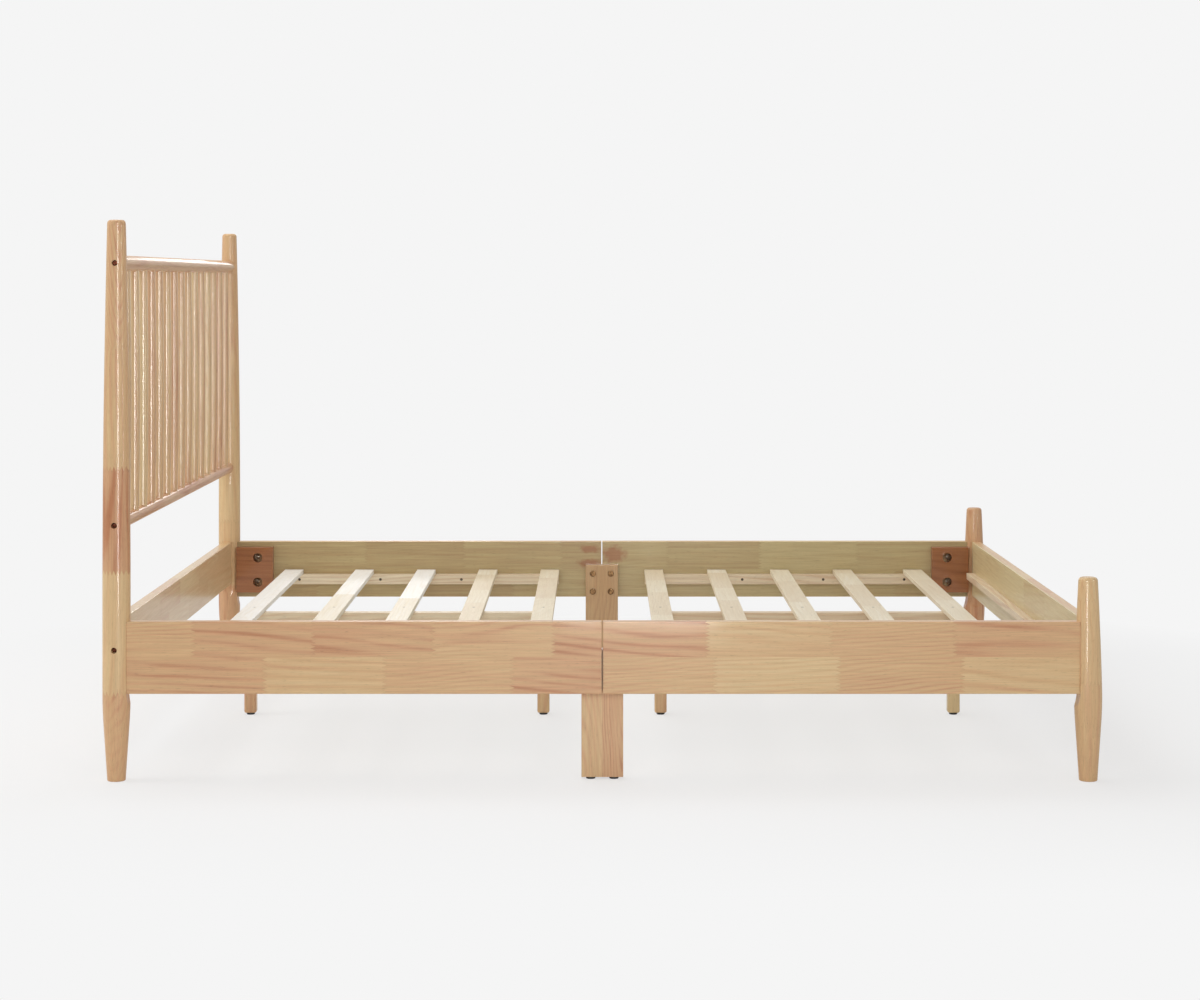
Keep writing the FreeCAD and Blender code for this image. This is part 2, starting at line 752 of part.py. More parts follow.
def ledger_screw_distance(index):
    """Distance along the bed from its middle to one screw of a side ledger."""
    return size("ledger_inner_end") + size("ledger_screw_margin") + ledger_pitch * index


def make_side_rail(end, side, along, inwards):
    """Half of a side rail, in the frame of its corner's post."""
    flat = flat_depth[end]
    length = half_length - flat - size("seam_gap") / 2
    left, right = between(-rail_outset, rail_inset, inwards)
    body = board(
        f"side_rail_{end}_{side}", "X", along * flat, along, length, left, right,
        size("side_rail_bottom"), size("rail_top"), size("rail_arris"),
    )
    face = inwards * rail_inset
    for index, height in enumerate(pocket_heights, start=1):
        bore(
            body, f"pocket_{index}", "Y", -inwards, face, along * (flat + size("pocket_distance")), height,
            size("pocket_radius"), size("pocket_floor"),
        )
        bore(
            body, f"hanger_{index}", "X", along, along * flat, inwards * size("hanger_offset"), height,
            hanger_hole_radius, size("pocket_distance"),
        )
    for index, height in enumerate(plank_bolt_heights, start=1):
        bore(
            body, f"insert_{index}", "Y", -inwards, face,
            along * (half_length - size("plank_bolt_spacing") / 2), height,
            size("insert_radius") + fit_gap, insert_hole_depth,
        )
    for index in range(int(size("ledger_screws").number)):
        bore(
            body, f"ledger_screw_{index + 1}", "Y", -inwards, face,
            along * (half_length - ledger_screw_distance(index)), slat_underside - size("ledger_height") / 2,
            screw_hole_radius,
            size("ledger_screw_length") - size("ledger_thickness") + size("end_gap"),
        )
    place(body, -along * half_length, -inwards * half_width)
    SUB_PARTS.append(body)


def make_corner_block(end, side, along, inwards):
    """A block glued into a corner, with two pockets for nuts, in the frame of the post."""
    flat = flat_depth[end]
    left, right = between(rail_inset, block_face, inwards)
    body = board(
        f"corner_block_{end}_{side}", "X", along * flat, along, size("block_length"), left, right,
        block_bottom, block_top, size("block_arris"),
    )
    for index, height in enumerate(pocket_heights, start=1):
        bore(
            body, f"pocket_{index}", "Y", -inwards, inwards * block_face,
            along * (flat + size("pocket_distance")), height,
            size("pocket_radius"), size("block_thickness"),
        )
        bore(
            body, f"hanger_{index}", "X", along, along * flat, inwards * size("hanger_offset"), height,
            hanger_hole_radius, size("pocket_distance"),
        )
    place(body, -along * half_length, -inwards * half_width)
    SUB_PARTS.append(body)


for corner in CORNERS:
    make_side_rail(*corner)
for corner in CORNERS:
    make_corner_block(*corner)


# ---------------------------------------------------------------- centre planks

nail_hole_radius = size("pad_nail_radius") + fit_gap
nail_hole_depth = size("pad_nail_length") + size("end_gap")


def make_centre_plank(side, inwards):
    """The plank that joins the two halves of a side rail and stands on the floor."""
    left, right = between(rail_inset, rail_inset + size("plank_thickness"), inwards)
    body = board(
        f"centre_plank_{side}", "Z", size("pad_thickness"), 1, plank_top - size("pad_thickness"),
        -size("plank_width") / 2, size("plank_width") / 2, left, right, size("plank_arris"),
    )
    inner_face = inwards * (rail_inset + size("plank_thickness"))
    for row, height in enumerate(plank_bolt_heights, start=1):
        for column in (-1, 1):
            bore(
                body, f"bolt_{row}_{column + 2}", "Y", -inwards, inner_face,
                column * size("plank_bolt_spacing") / 2, height, bolt_hole_radius, size("plank_thickness"),
            )
    for column in (-1, 1):
        bore(
            body, f"nail_{column + 2}", "Z", 1, size("pad_thickness"), column * size("plank_pad_spacing") / 2,
            inwards * (rail_inset + size("plank_thickness") / 2), nail_hole_radius, nail_hole_depth,
        )
    place(body, ZERO, -inwards * half_width)
    SUB_PARTS.append(body)


make_centre_plank("left", 1)
make_centre_plank("right", -1)


# ---------------------------------------------------------------- ledgers, slats, beams and legs


def slat_distances(outer_margin):
    """Distances of one half's slats from the bed's middle: even, but for the last one."""
    first = size("ledger_inner_end") + size("slat_inner_margin")
    last = ledger_outer_end - outer_margin
    even_pitch = (last - size("slat_last_pitch") - first) / (size("slats_per_ledger") - 2)
    even_slats = int(size("slats_per_ledger").number) - 1
    return [first + even_pitch * index for index in range(even_slats)] + [last]


head_slats = [-distance for distance in reversed(slat_distances(size("slat_head_margin")))]
foot_slats = slat_distances(size("slat_foot_margin"))
slat_places = head_slats + foot_slats
leg_distances = [foot_slats[0], ledger_outer_end - size("leg_margin")]
head_legs = [-leg_distances[1], -leg_distances[0]]
foot_legs = leg_distances
leg_places = head_legs + foot_legs
slat_length = size("post_span_width") - 2 * (rail_inset + size("slat_end_gap"))


def side_ledger():
    """A ledger in its own frame: its middle is on the rail's face, below the slats."""
    length = ledger_length
    body = board(
        "side_ledger", "X", -length / 2, 1, length, ZERO, size("ledger_thickness"),
        -size("ledger_height"), ZERO, size("ledger_arris"),
    )
    for index in range(int(size("ledger_screws").number)):
        hole = bore(
            body, f"screw_{index + 1}", "Y", -1, size("ledger_thickness"),
            size("ledger_screw_margin") + ledger_pitch * index - length / 2, -size("ledger_height") / 2,
            screw_hole_radius, size("ledger_thickness"),
        )
    countersink(body, hole, "Y", size("ledger_thickness"))
    return body


ledger = side_ledger()
for side, inwards, turn in (("left", 1, FreeCAD.Rotation()), ("right", -1, HALF_TURN)):
    middle = size("ledger_inner_end") + ledger_length / 2
    face = -inwards * (half_width - rail_inset)
    both = [(-middle, face, slat_underside, turn), (middle, face, slat_underside, turn)]
    SUB_PARTS.append(group(f"ledgers_{side}", ledger, both))


def make_slat(number, along):
    """One slat across the bed, screwed down in its middle."""
    body = board(
        f"slat_{number:02d}", "Y", -slat_length / 2, 1, slat_length, -size("slat_width") / 2,
        size("slat_width") / 2, ZERO, size("slat_thickness"), size("slat_arris"),
    )
    hole = bore(
        body, "screw", "Z", -1, size("slat_thickness"), ZERO, ZERO, screw_hole_radius, size("slat_thickness")
    )
    countersink(body, hole, "Z", size("slat_thickness"))
    place(body, along, ZERO, slat_underside)
    SUB_PARTS.append(body)


for number, along in enumerate(slat_places, start=1):
    make_slat(number, along)


def make_centre_beam(end, legs, slats):
    """A beam under the middle of half the slats, on two legs."""
    overhang = size("leg_width") / 2 + size("beam_overhang")
    start = legs[0] - overhang
    body = board(
        f"centre_beam_{end}", "X", start, 1, legs[1] + overhang - start, -size("beam_width") / 2,
        size("beam_width") / 2, ZERO, size("beam_height"), size("ledger_arris"),
    )
    for index, along in enumerate(slats, start=1):
        bore(
            body, f"screw_{index}", "Z", -1, size("beam_height"), along, ZERO, screw_hole_radius,
            size("slat_screw_length") - size("slat_thickness") + size("end_gap"),
        )
    for index, along in enumerate(legs, start=1):
        bore(
            body, f"leg_bolt_{index}", "Z", 1, ZERO, along, ZERO, hanger_hole_radius,
            size("leg_bolt_in_beam") + size("end_gap"),
        )
    place(body, ZERO, ZERO, beam_underside)
    SUB_PARTS.append(body)


make_centre_beam("head", head_legs, head_slats)
make_centre_beam("foot", foot_legs, foot_slats)


def centre_leg():
    """A square leg with rounded corners, standing on a floor pad."""
    height = beam_underside - size("pad_thickness")
    half = size("leg_width") / 2
    body = board("centre_leg", "Z", ZERO, 1, height, -half, half, -half, half, size("leg_round"))
    blank = body.Tip
    foot = [
        f"Edge{index}"
        for index, edge in enumerate(blank.Shape.Edges, start=1)
        if max(abs(edge.BoundBox.ZMin), abs(edge.BoundBox.ZMax)) < 1e-6
    ]
    ease_edges(body, "foot_round", blank, foot, size("leg_foot_round"))
    bore(body, "nail", "Z", 1, ZERO, ZERO, ZERO, nail_hole_radius, nail_hole_depth)
    bolt_share = size("leg_bolt_length") - size("leg_bolt_in_beam")
    bore(body, "bolt", "Z", -1, height, ZERO, ZERO, hanger_hole_radius, bolt_share + size("end_gap"))
    return body


upright = FreeCAD.Rotation()
leg_spots = [(along, ZERO, size("pad_thickness"), upright) for along in leg_places]
SUB_PARTS.append(group("centre_legs", centre_leg(), leg_spots))


# ---------------------------------------------------------------- fasteners
# Each pattern piece stands upright: its seat or its near end is at the origin, its tip
# points up.


def bevelled_pin(label, radius, length, bevel):
    """A round pin with bevelled ends."""
    body = new_body(label)
    corners = [
        (ZERO, ZERO),
        (radius - bevel, ZERO),
        (radius, bevel),
        (radius, length - bevel),
        (radius - bevel, length),
        (ZERO, length),
    ]
    turn_profile(body, corners)
    return body


def machine_bolt(label, length, head_radius, head_height):
    """A bolt with a round head and a hex socket."""
    body = new_body(label)
    edge = head_height / 4
    bevel = size("bolt_radius") / 4
    corners = [
        (ZERO, -head_height),
        (head_radius - edge, -head_height),
        (head_radius, edge - head_height),
        (head_radius, ZERO),
        (size("bolt_radius"), ZERO),
        (size("bolt_radius"), length - bevel),
        (size("bolt_radius") - bevel, length),
        (ZERO, length),
    ]
    turn_profile(body, corners)
    socket = new_sketch(body, "socket_sketch", "Z", -head_height)
    add_hexagon(socket, size("socket_flats"))
    cut(body, "socket", socket, "Z", 1, size("socket_recess"))
    return body


def wood_screw(label, length):
    """A flat-headed wood screw with a cross recess."""
    body = new_body(label)
    head = size("screw_head_radius")
    shank = size("screw_radius")
    corners = [
        (ZERO, ZERO),
        (head, ZERO),
        (shank, head - shank),
        (shank, length - size("screw_tip")),
        (ZERO, length),
    ]
    turn_profile(body, corners)
    across = size("screw_slot_width") / 2
    reach = shank
    for name, half_x, half_y in (("slot", reach, across), ("cross_slot", across, reach)):
        sketch = new_sketch(body, f"{name}_sketch", "Z")
        add_rectangle(sketch, -half_x, half_x, -half_y, half_y)
        cut(body, name, sketch, "Z", 1, size("screw_slot_depth"))
    return body


def hanger_bolt(length):
    """A headless bolt with a pointed end for the wood and a plain end for the nut."""
    body = new_body("hanger_bolt")
    radius = size("hanger_radius")
    bevel = radius / 4
    corners = [
        (ZERO, ZERO),
        (radius, size("hanger_tip")),
        (radius, length - bevel),
        (radius - bevel, length),
        (ZERO, length),
    ]
    turn_profile(body, corners)
    return body


def half_moon_washer():
    """A washer whose round side fits a pocket's wall; the bolt runs along X."""
    body = new_body("half_moon_washer")
    radius = size("pocket_radius") - fit_gap
    chord = radius - size("washer_depth")
    rise = (radius * radius - chord * chord).root()
    sketch = new_sketch(body, "section", "Y", -size("washer_width") / 2)
    add_outline(sketch, [(-chord, rise), (-chord, -rise)], {1: (radius, False)})
    pad(body, "blank", sketch, "Y", 1, size("washer_width"))
    bore(body, "hole", "X", -1, -chord, ZERO, ZERO, hanger_hole_radius, size("washer_depth"))
    return body


def hanger_nut():
    """A hexagon nut; the bolt runs along X."""
    body = new_body("hanger_nut")
    sketch = new_sketch(body, "section", "X")
    add_hexagon(sketch, size("nut_flats"))
    add_circle(sketch, ZERO, ZERO, hanger_hole_radius)
    pad(body, "blank", sketch, "X", 1, size("nut_length"))
    return body


def threaded_insert():
    """A sleeve that takes a bolt in the wood."""
    body = new_body("threaded_insert")
    sketch = new_sketch(body, "section", "Z")
    add_circle(sketch, ZERO, ZERO, size("insert_radius"))
    add_circle(sketch, ZERO, ZERO, bolt_hole_radius)
    pad(body, "blank", sketch, "Z", 1, size("insert_length"))
    return body


def floor_pad():
    """A round pad with a nail that holds it under a leg or a plank."""
    body = new_body("floor_pad")
    radius = size("pad_radius")
    rounding = size("pad_round")
    top = size("pad_thickness")
    corners = [
        (ZERO, ZERO),
        (radius - rounding, ZERO),
        (radius, rounding),
        (radius, top),
        (size("pad_nail_radius"), top),
        (size("pad_nail_radius"), top + size("pad_nail_length")),
        (ZERO, top + size("pad_nail_length")),
    ]
    turn_profile(body, corners, {1: (rounding, True)})
    return body


# ---------------------------------------------------------------- where the fasteners go

washer_seat = size("pocket_distance") - size("pocket_radius") + fit_gap
nut_seat = washer_seat + size("washer_depth")
hanger_length = size("hanger_embed") + nut_seat + size("nut_length") + size("hanger_overrun")
hanger_spots = []
washer_spots = []
nut_spots = []
for end, side, along, inwards in CORNERS:
    across = -inwards * (half_width - size("hanger_offset"))
    face = half_length - flat_depth[end]
    turn = upright if along > 0 else HALF_TURN
    for height in pocket_heights:
        tip = -along * (face + size("hanger_embed"))
        hanger_spots.append((tip, across, height, pointing(FreeCAD.Vector(along, 0, 0))))
        washer_spots.append((-along * (face - size("pocket_distance")), across, height, turn))
        nut_spots.append((-along * (face - nut_seat), across, height, turn))
SUB_PARTS.append(group("hanger_bolts", hanger_bolt(hanger_length), hanger_spots))
SUB_PARTS.append(group("half_moon_washers", half_moon_washer(), washer_spots))
SUB_PARTS.append(group("hanger_nuts", hanger_nut(), nut_spots))

plank_bolt_spots = []
insert_spots = []
headboard_bolt_spots = []
dowel_spots = []
ledger_screw_spots = []
pad_spots = [(along, ZERO, ZERO, upright) for along in leg_places]
joints_of_head_post = [
    (top_rail_height, top_saddle),
    (size("lower_rail_height"), lower_saddle),
    (end_rail_bolt_height, size("head_flat")),
]
for inwards in (1, -1):
    outwards_turn = pointing(FreeCAD.Vector(0, -inwards, 0))
    inwards_turn = pointing(FreeCAD.Vector(0, inwards, 0))
    rail_face = -inwards * (half_width - rail_inset)
    plank_face = -inwards * (half_width - rail_inset - size("plank_thickness"))
    plank_middle = -inwards * (half_width - rail_inset - size("plank_thickness") / 2)
    ledger_face = -inwards * (half_width - rail_inset - size("ledger_thickness"))
    for column in (-1, 1):
        along = column * size("plank_bolt_spacing") / 2
        for height in plank_bolt_heights:
            plank_bolt_spots.append((along, plank_face, height, outwards_turn))
            insert_spots.append((along, rail_face - inwards * size("insert_recess"), height, outwards_turn))
        pad_spots.append((column * size("plank_pad_spacing") / 2, plank_middle, ZERO, upright))
        for index in range(int(size("ledger_screws").number)):
            along = column * ledger_screw_distance(index)
            height = slat_underside - size("ledger_height") / 2
            ledger_screw_spots.append((along, ledger_face, height, outwards_turn))
    for height, seat in joints_of_head_post:
        bolt_seat = -inwards * (half_width + size("post_bolt_seat"))
        headboard_bolt_spots.append((-half_length, bolt_seat, height, inwards_turn))
        insert_start = -inwards * (half_width - seat - size("insert_recess"))
        insert_spots.append((-half_length, insert_start, height, inwards_turn))
    for height in dowel_heights:
        dowel_start = -inwards * (foot_rail_length / 2 + size("dowel_length") / 2)
        dowel_spots.append((half_length, dowel_start, height, inwards_turn))

plank_bolt = machine_bolt(
    "plank_bolt", size("plank_bolt_length"), size("plank_bolt_head_radius"), size("plank_bolt_head_height")
)
headboard_bolt = machine_bolt(
    "headboard_bolt", size("post_bolt_length"), size("post_bolt_head_radius"), size("post_bolt_head_height")
)
dowel = bevelled_pin("dowel", size("dowel_radius"), size("dowel_length"), size("dowel_bevel"))
leg_bolt = bevelled_pin("leg_bolt", size("hanger_radius"), size("leg_bolt_length"), size("hanger_radius") / 4)
ledger_screw = wood_screw("ledger_screw", size("ledger_screw_length"))
slat_screw = wood_screw("slat_screw", size("slat_screw_length"))
downwards = FreeCAD.Rotation(FreeCAD.Vector(1, 0, 0), 180)
slat_screw_spots = [(along, ZERO, size("slat_top"), downwards) for along in slat_places]
leg_bolt_low = beam_underside + size("leg_bolt_in_beam") - size("leg_bolt_length")
leg_bolt_spots = [(along, ZERO, leg_bolt_low, upright) for along in leg_places]
SUB_PARTS.append(group("plank_bolts", plank_bolt, plank_bolt_spots))
SUB_PARTS.append(group("headboard_bolts", headboard_bolt, headboard_bolt_spots))
SUB_PARTS.append(group("threaded_inserts", threaded_insert(), insert_spots))
SUB_PARTS.append(group("foot_rail_dowels", dowel, dowel_spots))
SUB_PARTS.append(group("ledger_screws", ledger_screw, ledger_screw_spots))
SUB_PARTS.append(group("slat_screws", slat_screw, slat_screw_spots))
SUB_PARTS.append(group("floor_pads", floor_pad(), pad_spots))
SUB_PARTS.append(group("leg_bolts", leg_bolt, leg_bolt_spots))


# ---------------------------------------------------------------- checks and files

doc.recompute()
failed = [item.Name for item in doc.Objects if "Invalid" in item.State or "Error" in item.State]
if failed:
    raise RuntimeError(f"failed objects: {failed}")
for part in SUB_PARTS:
    if part.Shape.isNull() or not part.Shape.isValid() or part.Shape.Volume <= 0:
        raise RuntimeError(f"{part.Label} has no valid shape")

os.makedirs("parts", exist_ok=True)
for part in SUB_PARTS:
    part.Shape.exportStep(os.path.join("parts", f"{part.Label}.step"))
print(f"{len(SUB_PARTS)} sub-parts written")
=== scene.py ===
"""Looks of a spindle bed in lacquered, finger-jointed rubberwood.

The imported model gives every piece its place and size.  This file builds the finished
surface of each piece around it: turned posts, coped rails, spindles, boards with eased
edges, and the metal fittings, each with its own finish.  Lengths are in metres.
+X runs from the headboard to the foot, +Y away from the camera, +Z up.
"""

import json
import logging
import math
from collections.abc import Iterable, Sequence
from dataclasses import dataclass, field
from enum import Enum
from typing import Any

import bmesh
import bpy
from mathutils import Matrix, Vector

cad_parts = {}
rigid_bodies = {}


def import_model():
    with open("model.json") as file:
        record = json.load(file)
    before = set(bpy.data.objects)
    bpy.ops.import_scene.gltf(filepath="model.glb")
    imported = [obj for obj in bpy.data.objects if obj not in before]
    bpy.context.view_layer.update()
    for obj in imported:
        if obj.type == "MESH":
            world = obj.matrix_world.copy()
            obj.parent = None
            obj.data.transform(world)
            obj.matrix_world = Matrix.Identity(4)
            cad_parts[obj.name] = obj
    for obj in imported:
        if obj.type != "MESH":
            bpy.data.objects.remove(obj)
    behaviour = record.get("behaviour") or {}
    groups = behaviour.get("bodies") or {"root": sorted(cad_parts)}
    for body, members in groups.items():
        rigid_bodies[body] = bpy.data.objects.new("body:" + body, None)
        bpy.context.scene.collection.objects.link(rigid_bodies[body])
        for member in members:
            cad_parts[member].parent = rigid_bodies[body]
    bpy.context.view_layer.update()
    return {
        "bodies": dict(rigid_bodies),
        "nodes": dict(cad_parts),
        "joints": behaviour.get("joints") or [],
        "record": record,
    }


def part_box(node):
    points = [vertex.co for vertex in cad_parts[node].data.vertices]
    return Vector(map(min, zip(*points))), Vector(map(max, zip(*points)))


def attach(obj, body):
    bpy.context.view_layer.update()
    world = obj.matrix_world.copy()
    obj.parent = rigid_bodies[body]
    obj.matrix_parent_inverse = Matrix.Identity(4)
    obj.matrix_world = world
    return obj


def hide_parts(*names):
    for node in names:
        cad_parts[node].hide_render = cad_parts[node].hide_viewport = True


log = logging.getLogger("spindle_bed")

MM = 0.001
ROOT = "root"
TURN_ATTRIBUTE = "turn"
GRAIN_ATTRIBUTE = "grain"
TINT_ATTRIBUTE = "tint"
WELD_DISTANCE = 0.002 * MM
TINT_SEED_STEP = 5.0
MIDDLE_TINT = 0.5

Triple = tuple[float, float, float]
Colour = tuple[float, ...]
Outline = list[tuple[float, float]]
Inputs = dict[int | str, Any]
Mesh = bpy.types.Mesh
Material = bpy.types.Material
Tree = bpy.types.NodeTree
Socket = bpy.types.NodeSocket


# ---- named options


class Axis(Enum):
    """One of the three axes of the bed, by its index."""

    X = 0
    Y = 1
    Z = 2

    @property
    def direction(self) -> Vector:
        """The unit vector along the axis."""
        return Vector([1.0 if index == self.value else 0.0 for index in range(3)])

    @property
    def others(self) -> tuple[int, int]:
        """The indices of the other two axes, in rising order."""
        first, second = (index for index in range(3) if index != self.value)
        return first, second


class Tone(Enum):
    """How warm a stave of rubberwood is, as a place on the palette."""

    WHITE = 0.0
    STRAW = 0.18
    PALE = 0.29
    TAN = 0.41
    WARM = 0.51
    PINK = 0.60
    RUSSET = 0.72


WHITE, STRAW, PALE, TAN, WARM, PINK, RUSSET = Tone


class Place(Enum):
    """A place at the edge of the bed, whose value is the way from it to the middle."""

    @property
    def word(self) -> str:
        """The word used in node names."""
        return self.name.lower()

    def outer(self, low: float, high: float) -> float:
        """Which of two levels lies further from the middle of the bed."""
        return low if self.value > 0 else high

    def inner(self, low: float, high: float) -> float:
        """Which of two levels lies nearer to the middle of the bed."""
        return high if self.value > 0 else low


class End(Place):
    """An end of the bed, with the way from its posts to the middle along X."""

    HEAD = 1
    FOOT = -1


class Side(Place):
    """A side of the bed, with the way from its posts to the middle along Y."""

    LEFT = 1
    RIGHT = -1


# ---- node wiring


class Wiring:
    """Adds nodes to one node tree and joins their sockets."""

    def __init__(self, tree: Tree) -> None:
        """Takes the tree to work on."""
        self.tree = tree

    @staticmethod
    def pick(sockets: Iterable[Socket], key: int | str) -> Socket:
        """Finds a socket by its index, or by its name among those in use.

        Args:
            sockets: the inputs or outputs of a node.
            key: an index, or a name.

        Returns:
            The socket.
        """
        listed = list(sockets)
        if isinstance(key, int):
            return listed[key]
        named = [socket for socket in listed if socket.name == key]
        in_use = [socket for socket in named if socket.enabled]
        return (in_use or named)[0]

    def feed(self, socket: Socket, value: Any) -> None:
        """Joins another socket to this one, or sets its plain value.

        Args:
            socket: the input to feed.
            value: a socket to join, or a value.
        """
        if isinstance(value, Socket):
            self.tree.links.new(value, socket)
        else:
            socket.default_value = value

    def node(self, kind: str, inputs: Inputs | None = None, **settings: Any) -> bpy.types.Node:
        """Adds a node.

        Args:
            kind: Blender's name for the node's type.
            inputs: what each input gets, by index or name.
            settings: the node's own properties.

        Returns:
            The new node.
        """
        made = self.tree.nodes.new(kind)
        for name, value in settings.items():
            setattr(made, name, value)
        for key, value in (inputs or {}).items():
            self.feed(self.pick(made.inputs, key), value)
        return made

    def out(self, kind: str, key: int | str, inputs: Inputs | None = None, **settings: Any) -> Socket:
        """Adds a node and returns one of its outputs, by index or name."""
        return self.pick(self.node(kind, inputs, **settings).outputs, key)

    def effect(self, group: Tree, inputs: Inputs) -> bpy.types.Node:
        """Adds a node that places a shared shader group."""
        return self.node("ShaderNodeGroup", inputs, node_tree=group)

    def math(self, operation: str, *values: Any, clamp: bool = False) -> Socket:
        """Works out a value from others, and keeps it between 0 and 1 if clamped."""
        return self.out("ShaderNodeMath", 0, dict(enumerate(values)), operation=operation, use_clamp=clamp)

    def plus(self, first: Any, second: Any, clamp: bool = False) -> Socket:
        """The sum of two values."""
        return self.math("ADD", first, second, clamp=clamp)

    def minus(self, first: Any, second: Any) -> Socket:
        """The first value less the second."""
        return self.math("SUBTRACT", first, second)

    def times(self, first: Any, second: Any, clamp: bool = False) -> Socket:
        """The product of two values."""
        return self.math("MULTIPLY", first, second, clamp=clamp)

    def over(self, first: Any, second: Any, clamp: bool = False) -> Socket:
        """The first value divided by the second."""
        return self.math("DIVIDE", first, second, clamp=clamp)

    def scaled(self, value: Any, factor: Any, start: Any, clamp: bool = False) -> Socket:
        """A value times a factor, added to a start."""
        return self.math("MULTIPLY_ADD", value, factor, start, clamp=clamp)

    def about_half(self, value: Any) -> Socket:
        """How far a value lies above one half."""
        return self.minus(value, 0.5)

    def vector(self, operation: str, *values: Any) -> Socket:
        """Works out a vector from others, or a value for a length or a product."""
        key = "Value" if operation in ("LENGTH", "DOT_PRODUCT") else "Vector"
        return self.out("ShaderNodeVectorMath", key, dict(enumerate(values)), operation=operation)

    def split(self, vector: Socket) -> list[Socket]:
        """The three components of a vector."""
        return list(self.node("ShaderNodeSeparateXYZ", {0: vector}).outputs)

    def join(self, x: Any = 0.0, y: Any = 0.0, z: Any = 0.0) -> Socket:
        """A vector from three components."""
        return self.out("ShaderNodeCombineXYZ", 0, {0: x, 1: y, 2: z})

    def noise(self, place: Socket, stretch: Triple, detail: float = 2.0) -> Socket:
        """Noise from 0 to 1 that repeats as often in a metre as stretch says, with finer layers."""
        scaled = self.vector("MULTIPLY", place, stretch)
        return self.out("ShaderNodeTexNoise", 0, {"Vector": scaled, "Scale": 1.0, "Detail": detail})

    def blend(self, share: Any, first: Any, second: Any, way: str = "MIX") -> Socket:
        """Mixes a share of the second colour into the first."""
        inputs = {"Factor": share, "A": first, "B": second}
        return self.out("ShaderNodeMix", "Result", inputs, data_type="RGBA", blend_type=way)

    def bump(self, height: Socket, strength: float, distance: float) -> Socket:
        """The normal of a surface with a fine relief."""
        inputs = {"Strength": strength, "Distance": distance, "Height": height}
        return self.out("ShaderNodeBump", "Normal", inputs)

    def ramp(self, place: Any, stops: Sequence[tuple[float, Colour]], steps: bool = False) -> Socket:
        """A colour that depends on a value.

        Args:
            place: the value, from 0 to 1.
            stops: places in rising order, each with its colour.
            steps: whether the colour changes in steps.

        Returns:
            The colour's socket.
        """
        made = self.node("ShaderNodeValToRGB", {0: place})
        made.color_ramp.interpolation = "CONSTANT" if steps else "LINEAR"
        elements = made.color_ramp.elements
        while len(elements) < len(stops):
            elements.new(1.0)
        for element, (at, colour) in zip(elements, stops):
            element.position = at
            element.color = colour
        return made.outputs[0]


@dataclass
class Group:
    """A node group under construction: its tree, wiring, and the ends of its wires."""

    tree: Tree
    wiring: Wiring
    given: bpy.types.Node
    result: bpy.types.Node

    @classmethod
    def begin(cls, name: str, kind: str, inputs: dict[str, str], outputs: dict[str, str]) -> "Group":
        """Starts a node group.

        Args:
            name: the group's name.
            kind: the type of tree.
            inputs: the type of socket for each named input.
            outputs: the type of socket for each named output.

        Returns:
            The empty group.
        """
        tree = bpy.data.node_groups.new(name, kind)
        for label, socket in inputs.items():
            tree.interface.new_socket(name=label, in_out="INPUT", socket_type=socket)
        for label, socket in outputs.items():
            tree.interface.new_socket(name=label, in_out="OUTPUT", socket_type=socket)
        wiring = Wiring(tree)
        return cls(tree, wiring, wiring.node("NodeGroupInput"), wiring.node("NodeGroupOutput"))

    def take(self, name: str) -> Socket:
        """The socket that brings a named input."""
        return self.given.outputs[name]

    def give(self, name: str, value: Any) -> None:
        """Sends a value to a named output."""
        self.wiring.feed(self.result.inputs[name], value)


VALUE = "NodeSocketFloat"
WHOLE = "NodeSocketInt"
VECTOR = "NodeSocketVector"
GEOMETRY = "NodeSocketGeometry"
MATERIAL = "NodeSocketMaterial"
OBJECT = "NodeSocketObject"


# ---- colours and finishes


def linear(level: int) -> float:
    """The light of one channel, from its level of 0 to 255 on a screen."""
    share = level / 255
    return share / 12.92 if share <= 0.04045 else ((share + 0.055) / 1.055) ** 2.4


def srgb(red: int, green: int, blue: int) -> Colour:
    """A colour with full alpha in linear light, from its levels on a screen."""
    return linear(red), linear(green), linear(blue), 1.0


@dataclass(frozen=True)
class Palette:
    """Four colours of one wood, from its palest stave to its warmest."""

    straw: Colour
    tan: Colour
    pink: Colour
    russet: Colour

    def stops(self) -> list[tuple[float, Colour]]:
        """The palette as stops of a colour ramp."""
        return [(0.0, self.straw), (0.4, self.tan), (0.7, self.pink), (1.0, self.russet)]


LACQUERED = Palette(srgb(223, 197, 150), srgb(214, 178, 133), srgb(208, 163, 124), srgb(186, 128, 92))
# The next two palettes are painted shade: darker, olive versions of the lacquer for the rails' inner faces,
# which face the shaded inside of the bed.
SHADED_INSIDE = Palette(srgb(190, 173, 127), srgb(177, 154, 110), srgb(168, 138, 98), srgb(148, 110, 76))
PALE_SHADED_INSIDE = Palette(srgb(216, 200, 156), srgb(208, 188, 142), srgb(200, 174, 130), srgb(188, 154, 112))
# Painted shade: the lacquered palette darkened for the far plank, which stands in shade inside the bed.
SHADED_PLANK = Palette(srgb(204, 174, 132), srgb(193, 158, 116), srgb(184, 145, 106), srgb(168, 124, 88))
BLEACHED = Palette(srgb(251, 248, 241), srgb(230, 217, 190), srgb(221, 203, 173), srgb(208, 180, 148))
COPPERY = Palette(srgb(176, 125, 80), srgb(157, 100, 58), srgb(139, 85, 47), srgb(116, 68, 36))
STAIN = srgb(158, 102, 68)


Row = tuple[tuple[float, Tone], ...]


@dataclass(frozen=True)
class Staves:
    """How a board is glued up from finger-jointed staves, in one row or two.

    A row lists where each stave starts along the grain and its tone.  The second row lies
    beyond the boundary, which is measured across the grain from the board's middle, on the
    grain attribute's component called across.
    """

    low: float
    high: float
    first_row: Row
    second_row: Row = ()
    across: int = 2
    boundary: float = 0.0

    def stops(self, row: Row) -> list[tuple[float, Colour]]:
        """The tones of one row as steps of a ramp along the board."""
        length = self.high - self.low
        return [((start - self.low) / length, (tone.value,) * 3 + (1.0,)) for start, tone in row]


